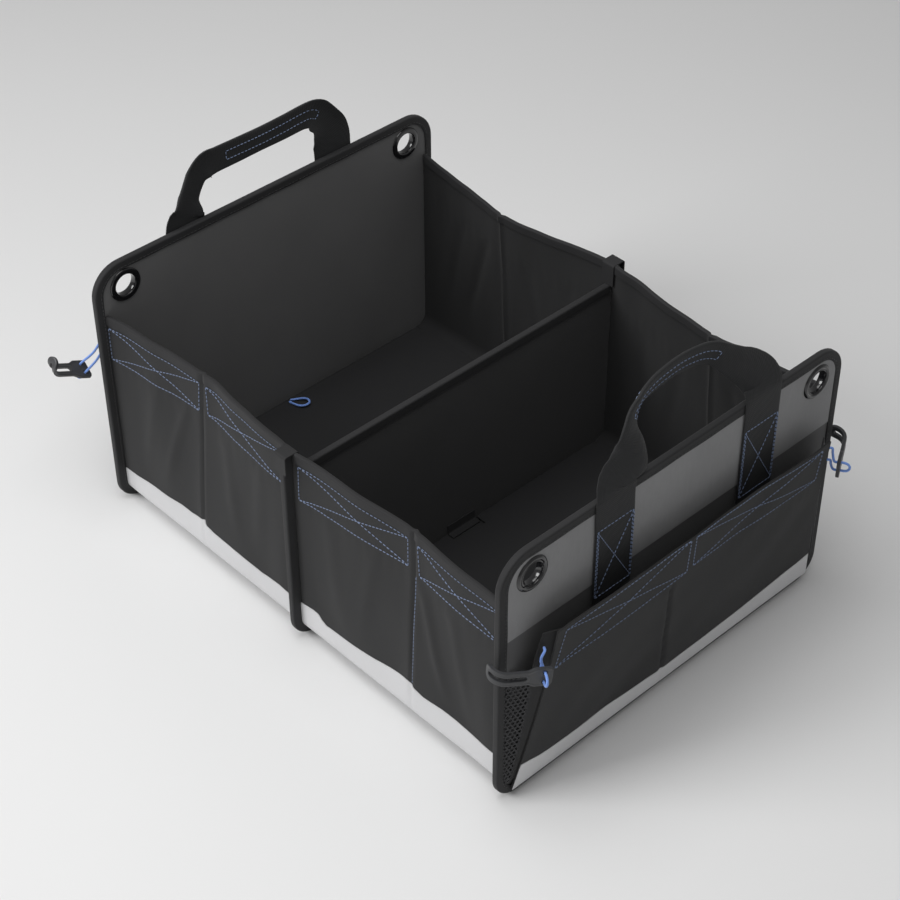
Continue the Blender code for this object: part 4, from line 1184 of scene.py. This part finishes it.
def on_pocket(y, z, offset, sign_x):
    """A place on the pocket front: its sloping plane, two shallow bulges, the crease and waves."""
    half = pocket_edge(z)
    across, high = np.clip(np.abs(y) / half, 0, 1), np.clip((z - POCKET_FOOT) / POCKET_TALL, 0, 1)
    fade = np.clip((1 - across) / 0.12, 0, 1) * np.clip(high / 0.18, 0, 1)
    gap = y - pocket_seam(z)
    crease = -0.0024 * np.exp(-(gap / 0.0026) ** 2) + 0.0010 * np.exp(-(gap / 0.011) ** 2)
    below = np.clip((0.168 - z) / 0.012, 0, 1)
    wave = 0.0022 * smooth_waves(57, y, z * 0.5, 0.12) + 0.0007 * smooth_waves(58, y, z * 0.7, 0.04)
    pucker = 0.0001 * np.sin(2 * np.pi * y / 0.014) * np.exp(-((z - 0.158) / 0.010) ** 2)
    bulge = wave + pucker + crease * below + 0.0012 * np.sin(np.pi * high)
    x = pocket_plane(z) + CLOTH + offset + fade * bulge
    return np.stack([sign_x * x, y, z], axis=-1)


def pulled_in(share, z):
    """y on the pocket front for a share from -1 to 1 of its width, with the side edges drawn in."""
    high = np.clip((z - POCKET_FOOT) / POCKET_TALL, 0, 1)
    return share * (pocket_edge(z) - 0.0045 * np.sin(np.pi * high) * np.abs(share) ** 6)


POCKET_BANDS = [crossed((-0.1735, 0.2095), (-0.1800, 0.1620), (-0.0110, 0.1700), (-0.0145, 0.2145)),
                crossed((-0.0075, 0.2145), (-0.0025, 0.1720), (0.1740, 0.1700), (0.1720, 0.2110))]


HEM = POCKET_FOOT + 0.003


def pocket(sign_x):
    end = end_name(sign_x)
    share, z = np.meshgrid(np.linspace(-1, 1, 181), np.linspace(HEM, POCKET_TOP, 92), indexing="ij")
    y = pulled_in(share, z)
    uv = np.stack([y, z], axis=-1)
    front = sheet_piece(f"pocket_cloth_{end}", on_pocket(y, z, 0.0, sign_x), on_pocket(y, z, -CLOTH, sign_x),
                        uv, charcoal_cloth, "charcoal_cloth")
    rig.replaces(front, f"pocket_front_{end}")
    across = np.linspace(-1, 1, 181)
    top = POCKET_FOOT + 0.025 + 0.011 * across ** 2 + 0.0006 * np.sin(across * 9)
    share, level = np.meshgrid(across, np.linspace(0, 1, 12), indexing="ij")
    z = HEM + level * (top[:, None] - HEM)
    y = pulled_in(share, z)
    strip = sheet_piece(f"pocket_band_{end}", on_pocket(y, z, GAP + FACING * 0.6, sign_x),
                        on_pocket(y, z, GAP * 0.4, sign_x), np.stack([y, z], -1), reflective_cloth,
                        "reflective_cloth")
    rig.replaces(strip, f"pocket_strip_{end}")

    def place(flat, offset):
        return on_pocket(flat[:, 0], flat[:, 1], offset, sign_x)

    thread = thread_piece(f"pocket_thread_{end}", straight_runs(POCKET_BANDS), place)
    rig.sheet(front, flat=(0.422, 0.2077), area=0.0820, held="stretched", rests_on=[f"end_wall_{end}"],
             with_pieces=[strip, thread])


def gusset(sign_x, sign_y):
    """Knitted mesh beside the wall and plain cloth beside the pocket front. The mesh is a honeycomb:
    each cell is a ring of six quads between its outline and a smaller, taller hole."""
    where = corner_name(sign_x, sign_y)
    turn_round = np.array((sign_x, -sign_y, 1))

    def width(v):
        wall, front = gusset_ends(v / GUSSET_TALL)
        return np.linalg.norm(front - wall, axis=-1)

    def place(u, v, offset):
        share = np.clip(v / GUSSET_TALL, 0, 1)
        across = u / np.maximum(width(v), 1e-6)
        tucked = 0.010 * np.clip((share - 0.75) / 0.25, 0, 1) ** 2
        bow = -(0.0035 * np.sin(np.pi * share) + tucked) * np.clip(across, 0, 1) ** 0.7
        return (gusset_place(share, across, offset) + np.stack([bow * 0, -bow, bow * 0], -1)) * turn_round

    pitch, tall = 0.0042, 0.0062
    rows, cols = np.meshgrid(np.arange(31), np.arange(8), indexing="ij")
    centre = np.column_stack([(cols + 0.5 * (rows % 2)).ravel() * pitch, rows.ravel() * tall * 0.75 + 0.002])
    centre = centre[centre[:, 0] < 0.64 * width(centre[:, 1]) + pitch * 0.5]
    turn = np.radians(np.arange(30, 390, 60))
    ring = np.column_stack([np.cos(turn) * pitch / math.sqrt(3), np.sin(turn) * tall / 2])
    cells = centre[:, None, None] + ring[None, None] * np.array((1.0, 0.62))[None, :, None, None]
    flat = np.round(cells.reshape(-1, 2), 6)
    flat[:, 0] = np.clip(flat[:, 0], 0, 0.70 * width(np.clip(flat[:, 1], 0, GUSSET_TALL)))
    flat[:, 1] = np.clip(flat[:, 1], 0, GUSSET_TALL)
    base = 12 * np.arange(len(centre))[:, None, None]
    quad = np.array([[k, (k + 1) % 6, 6 + (k + 1) % 6, 6 + k] for k in range(6)])
    faces = (base + quad[None]).reshape(-1, 4)
    mesh = bpy.data.meshes.new(f"mesh_net_{where}")
    mesh.from_pydata(place(flat[:, 0], flat[:, 1], 0.0).tolist(), [], faces.tolist())
    mesh.uv_layers.new(name="cloth").data.foreach_set("uv", flat[faces.ravel()].ravel())
    shape = bmesh.new()
    shape.from_mesh(mesh)
    bmesh.ops.remove_doubles(shape, verts=shape.verts, dist=0.00005)
    bmesh.ops.dissolve_degenerate(shape, edges=shape.edges, dist=0.00005)
    bmesh.ops.recalc_face_normals(shape, faces=shape.faces)
    shape.to_mesh(mesh)
    shape.free()
    mesh.materials.append(black_mesh)
    net = bpy.data.objects.new(f"mesh_net_{where}", mesh)
    bpy.context.scene.collection.objects.link(net)
    thick = net.modifiers.new("thickness", "SOLIDIFY")
    thick.thickness, thick.offset = 0.0009, 0.0
    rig.ride(net, "box")
    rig.slot(net, "black_mesh")

    share, across = np.meshgrid(np.linspace(0, 1, 60), np.linspace(0.62, 1.0, 12), indexing="ij")
    v = share * GUSSET_TALL
    u = across * width(v)
    band = sheet_piece(f"gusset_cloth_{where}", place(u, v, 0.0004), place(u, v, -0.0012),
                       np.stack([u, v], -1), charcoal_cloth, "charcoal_cloth")
    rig.replaces(net, f"pocket_gusset_{where}")
    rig.sheet(band, flat=(0.0105, 0.191), held="stretched", rests_on=[f"end_wall_{where.split('_')[0]}"],
             with_pieces=[net])
    return len(faces)


for sign_x in (1, -1):
    pocket(sign_x)
print("mesh faces:", [gusset(*spot) for spot in HOOK_SPOTS])

# %% [markdown]
# A handle is one length of webbing. It is sewn flat to the wall at both ends, then narrows as it folds
# lengthwise into the grip. Its section is a flat rounded ring, and the route, the width, the thickness
# and the lean are all smooth curves through a few stations.

# %% Handles


def smooth_rows(rows, count):
    """Many rows on the same smooth curve, even along their first two values."""
    dense = cubic_through(rows, 16)
    run = run_of(dense[:, :2])
    return at_steps(dense, run, np.linspace(0, run[-1], count))


def over_wall(rise, lean):
    """Webbing at a height along it over the wall's top: straight, then a short arc, then leaning."""
    radius = 0.010 / lean
    turn = lean * np.clip((rise - 0.001) / 0.010, 0, 1)
    past = np.maximum(rise - 0.011, 0)
    x = -radius * (1 - np.cos(turn)) - past * np.sin(turn)
    return x, np.minimum(rise, 0.001) + radius * np.sin(turn) + past * np.cos(turn), turn


# Stations from foot to foot: y, height over the wall's top, width, and twist in degrees
NEAR_ROWS = ((-0.088, 0.0015, 0.050, 0), (-0.075, 0.010, 0.049, 0),
             (-0.063, 0.020, 0.045, 2), (-0.056, 0.032, 0.038, 8), (-0.052, 0.046, 0.031, 28),
             (-0.046, 0.056, 0.029, 38), (-0.037, 0.0635, 0.027, 47),
             (-0.028, 0.0675, 0.027, 46), (-0.011, 0.071, 0.027, 42), (0.018, 0.073, 0.027, 41),
             (0.0435, 0.0705, 0.027, 41), (0.0575, 0.066, 0.027, 40), (0.066, 0.0605, 0.027, 38),
             (0.073, 0.0535, 0.029, 30), (0.085, 0.0415, 0.034, 24), (0.099, 0.029, 0.041, 14),
             (0.108, 0.0155, 0.048, 4), (0.107, 0.0015, 0.050, 0))
FAR_ROWS = ((-0.105, 0.0015, 0.049, 0), (-0.101, 0.0130, 0.038, 0), (-0.0955, 0.0260, 0.026, 0),
            (-0.0865, 0.0415, 0.026, 0), (-0.0790, 0.0505, 0.031, 0), (-0.0715, 0.0545, 0.033, 0),
            (-0.060, 0.0542, 0.029, 0), (-0.030, 0.0535, 0.028, 0), (0.000, 0.0530, 0.027, 0),
            (0.030, 0.0538, 0.028, 0), (0.056, 0.0552, 0.029, 0), (0.0665, 0.0545, 0.033, 0),
            (0.0735, 0.0505, 0.037, 0), (0.0815, 0.0420, 0.037, 0), (0.087, 0.0300, 0.045, 0),
            (0.091, 0.0170, 0.050, 0), (0.092, 0.0015, 0.050, 0))


def handle(sign_x, rows, lean, grip):
    """Webbing swept along its rows on the flat, then carried over the wall's top. grip is the y, the half
    length and the two heights across the webbing of the rows of stitches on the grip."""
    end = end_name(sign_x)
    feet = [[(y, level, WEBBING, 0) for level in (-0.118, -0.080, -0.040)]
            for y in (rows[0][0], rows[-1][0])]
    rows = smooth_rows([*feet[0], *rows, *feet[1][::-1]], 200)
    run = run_of(rows[:, :2])
    tangent = unit(np.gradient(rows[:, :2], axis=0))
    flat_part = rows[:, 1] < 0.003
    tangent[flat_part] = np.sign(tangent[flat_part]) * (0, 1)
    across = np.column_stack([tangent[:, 1], -tangent[:, 0]])
    folded = np.clip((WEBBING - rows[:, 2]) / 0.023, 0, 1)
    thick, twist = 0.0022 + 0.0024 * folded, np.radians(rows[:, 3])

    def place(flat, level):
        """flat is (run, distance across); level is the distance out from the webbing's inner face."""
        at = [np.interp(flat[..., 0], run, column) for column in (*rows[:, :2].T, *across.T, thick, twist)]
        above = (level(at[4]) if callable(level) else level) - at[4] / 2
        reach = flat[..., 1] * np.cos(at[5]) + above * np.sin(at[5])
        level = at[4] / 2 + above * np.cos(at[5]) - flat[..., 1] * np.sin(at[5])
        rise = at[1] + reach * at[3]
        rise = np.where(at[1] > 0.003, np.maximum(rise, 0.003), rise)
        x, z, turn = over_wall(rise, lean)
        return np.stack([sign_x * (HALF_LENGTH + GAP * 0.5 + x + level * np.cos(turn)),
                         at[0] + reach * at[2], END_HEIGHT + z + level * np.sin(turn)], -1)

    turn = np.linspace(0, 2 * np.pi, 36, endpoint=False)
    wide = np.sign(np.cos(turn)) * np.abs(np.cos(turn)) ** 0.45
    deep = np.sign(np.sin(turn)) * np.abs(np.sin(turn)) ** 0.55
    slit = 0.0016 * folded[:, None] * np.exp(-((turn - 2 * np.pi * (turn > np.pi)) / 0.25) ** 2)[None]
    cup = -0.018 * (folded * (1 - folded))[:, None] * (np.abs(wide) ** 2.2)[None]
    reach = (rows[:, 2:3] / 2) * wide[None] - slit
    level = thick[:, None] / 2 * (1 + deep[None]) + cup
    points = place(np.stack([run[:, None] + reach * 0, reach], -1), level)
    uv = np.stack(np.meshgrid(run, np.linspace(0, 0.104, 37), indexing="ij"), axis=-1)
    strap = grid_piece(f"webbing_{end}", points, uv, black_webbing, "black_webbing", wrap=(False, True),
                       caps="fan")
    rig.replaces(strap, f"handle_{end}")

    lines = []
    for start, way in ((0.0, 1), (run[-1], -1)):
        box = np.array([(0.007, -0.0233), (0.007, 0.0233), (0.087, 0.0233), (0.087, -0.0233),
                        (0.007, -0.0233)])
        cross = [box[[0, 2]], box[[1, 3]], box[[0, 3]] * (1, 0.93), box[[1, 2]] * (1, 0.93)]
        lines += [line * (way, 1) + (start, 0) for line in [box, *cross]]
    middle = np.interp(grip[0], rows[:, 0], run)
    low, high = middle - grip[1], middle + grip[1]
    lines.append(np.array([(low, -grip[2]), (high, -grip[2]), (high, -grip[3]), (low, -grip[3]),
                           (low, -grip[2])]))
    runs = []
    for line in lines:
        parts = np.linspace(0, len(line) - 1, 40 * (len(line) - 1) + 1)
        runs.append(at_steps(line, np.arange(len(line)), parts))

    def outer_face(flat, offset):
        return place(flat, lambda deep: deep + offset)

    def inner_face(flat, offset):
        return place(flat, -offset)

    thread_piece(f"webbing_thread_{end}", runs, outer_face)
    thread_piece(f"webbing_thread_inside_{end}", runs[-1:], inner_face)
    print(f"webbing_{end}: {run[-1]:.3f} m long")


handle(1, NEAR_ROWS, math.radians(28), (0.007, 0.061, 0.0045, -0.0045))
handle(-1, FAR_ROWS, math.radians(-3), (0.015, 0.061, 0.0050, -0.0045))

# %% [markdown]
# The floor boards lie on the base cloth and lift at the divider. Each is a covered board with rounded
# edges, a notch for its hinge tab, and the pull loop made above.

# %% Base cloth, floor boards and hinge tabs


def floor_board(sign_x):
    end = end_name(sign_x)
    half, r = 0.2025, 0.016
    notch, notch_x = 0.021, HINGE_X + 0.0135
    outline = np.vstack([corner_arc((BOARD_STOP - r, half - r), r, 0, 90, 8),
                         corner_arc((HINGE_X + r, half - r), r, 90, 180, 8),
                         [(HINGE_X, notch), (notch_x, notch), (notch_x, -notch), (HINGE_X, -notch)],
                         corner_arc((HINGE_X + r, r - half), r, 180, 270, 8),
                         corner_arc((BOARD_STOP - r, r - half), r, 270, 360, 8)])

    def place(flat, away, side):
        edge = 0.0014 * np.clip(1 - away / 0.0035, 0, 1) ** 2
        soft = 0.0003 * smooth_waves(71 + sign_x, flat[:, 0], flat[:, 1], 0.09)
        soft = soft * np.clip(away / 0.02, 0, 1) * (side > 0)
        z = (BOARD_TOP + BOARD_BOTTOM) / 2 + side * (0.0020 - edge) + soft - 0.0003 * (side > 0)
        return np.column_stack([sign_x * flat[:, 0], flat[:, 1], z])

    board = plate_piece(f"lift_board_{end}", [outline], 0.008, place, board_cloth, "covered_board",
                        body=f"board_{end}")
    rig.replaces(board, f"floor_board_{end}")

    x, y = np.meshgrid(np.linspace(BAY_START, BAY_END, 60), np.linspace(-BASE_HALF, BASE_HALF, 80),
                       indexing="ij")
    fade = np.clip(np.minimum(x - BAY_START, BAY_END - x) / 0.03, 0, 1)
    fade = fade * np.clip((BASE_HALF - np.abs(y)) / 0.03, 0, 1)
    low = BASE_BOTTOM + 0.0008 * fade * smooth_waves(83 + sign_x, x, y, 0.10) - 0.0008 * fade
    grids = [np.stack([sign_x * x, y, low + rise], axis=-1) for rise in (0.0, CLOTH - 0.0002)]
    base = sheet_piece(f"bottom_cloth_{end}", *grids, np.stack([x, y], -1), charcoal_cloth, "charcoal_cloth")
    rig.replaces(base, f"base_cloth_{end}")
    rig.sheet(base, flat=(0.2797, 0.4014), held="stretched", rests_on=[f"end_wall_{end}", "divider_wall"])

    start, foot = BOARD / 2 + GAP, BASE_TOP + GAP
    bend = 0.0030
    outer = np.vstack([[(start, foot + 0.012)], corner_arc((start + bend, foot + bend), bend, 180, 270, 6),
                       [(start + 0.0095, foot)]])
    inner = np.vstack([[(start + 0.0095, foot + 0.0015)],
                       corner_arc((start + bend, foot + bend), bend - 0.0015, 270, 180, 6),
                       [(start + 0.0015, foot + 0.012)]])
    y = np.linspace(-0.019, 0.019, 20)
    tab = sweep_piece(f"tab_tape_{end}", np.column_stack([y * 0, y, y * 0]), (sign_x, 0, 0), UPWARD,
                      np.vstack([outer, inner]), black_tape, "black_tape")
    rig.replaces(tab, f"hinge_tab_{end}")
    return len(board.data.polygons)


print("floor board faces:", [floor_board(sign) for sign in (1, -1)])

# %% [markdown]
# A plain pale floor and soft studio light. The long side faces the key light, and the near end gets only
# the fill, as in the photograph.

# %% Floor and lights
floor_mesh = bpy.data.meshes.new("studio_floor")
floor_mesh.from_pydata([(-6, -6, 0), (6, -6, 0), (6, 6, 0), (-6, 6, 0)], [], [(0, 1, 2, 3)])
floor = bpy.data.objects.new("studio_floor", floor_mesh)
bpy.context.scene.collection.objects.link(floor)
pale = Finish("studio_floor", (0.80, 0.80, 0.80), 0.7)
pale.set("Base Color", pale.node("ShaderNodeMix", {"data_type": "RGBA"},
                                 {0: pale.noise(2.0), 6: (0.79, 0.79, 0.79, 1), 7: (0.81, 0.81, 0.81, 1)}, 2))
floor_mesh.materials.append(pale.material)
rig.stage(floor)


def area_light(name, place, aim, size, watts):
    """A square soft light at a place, turned toward its aim."""
    data = bpy.data.lights.new(name, "AREA")
    data.shape, data.size, data.energy = "SQUARE", size, watts
    light = bpy.data.objects.new(name, data)
    toward = (Vector(aim) - Vector(place)).to_track_quat("-Z", "Y").to_matrix().to_4x4()
    light.matrix_world = Matrix.Translation(place) @ toward
    bpy.context.scene.collection.objects.link(light)


area_light("key", (-1.1, -2.4, 1.9), (0, 0, 0.1), 1.4, 50)
area_light("top", (0.05, -0.35, 1.75), (-0.05, 0.05, 0.1), 1.2, 15)
area_light("fill", (2.5, -0.9, 1.2), (0, 0, 0.1), 1.6, 1.5)
world = bpy.data.worlds.new("studio")
bpy.context.scene.world = world
world.use_nodes = True
sky = world.node_tree.nodes["Background"]
sky.inputs["Color"].default_value = (1, 1, 1, 1)
sky.inputs["Strength"].default_value = 0.30
bpy.context.scene.view_settings.view_transform = "Standard"
print("lights:", [thing.name for thing in bpy.data.objects if thing.type == "LIGHT"])

# %% Keep both boxes' sizes and finish
seen_box = [[float(v) for v in corner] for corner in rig.bounds()]
with open("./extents.json", "w") as report:
    json.dump({"cad": cad_box, "visual": seen_box}, report)
print("visual box:", seen_box)
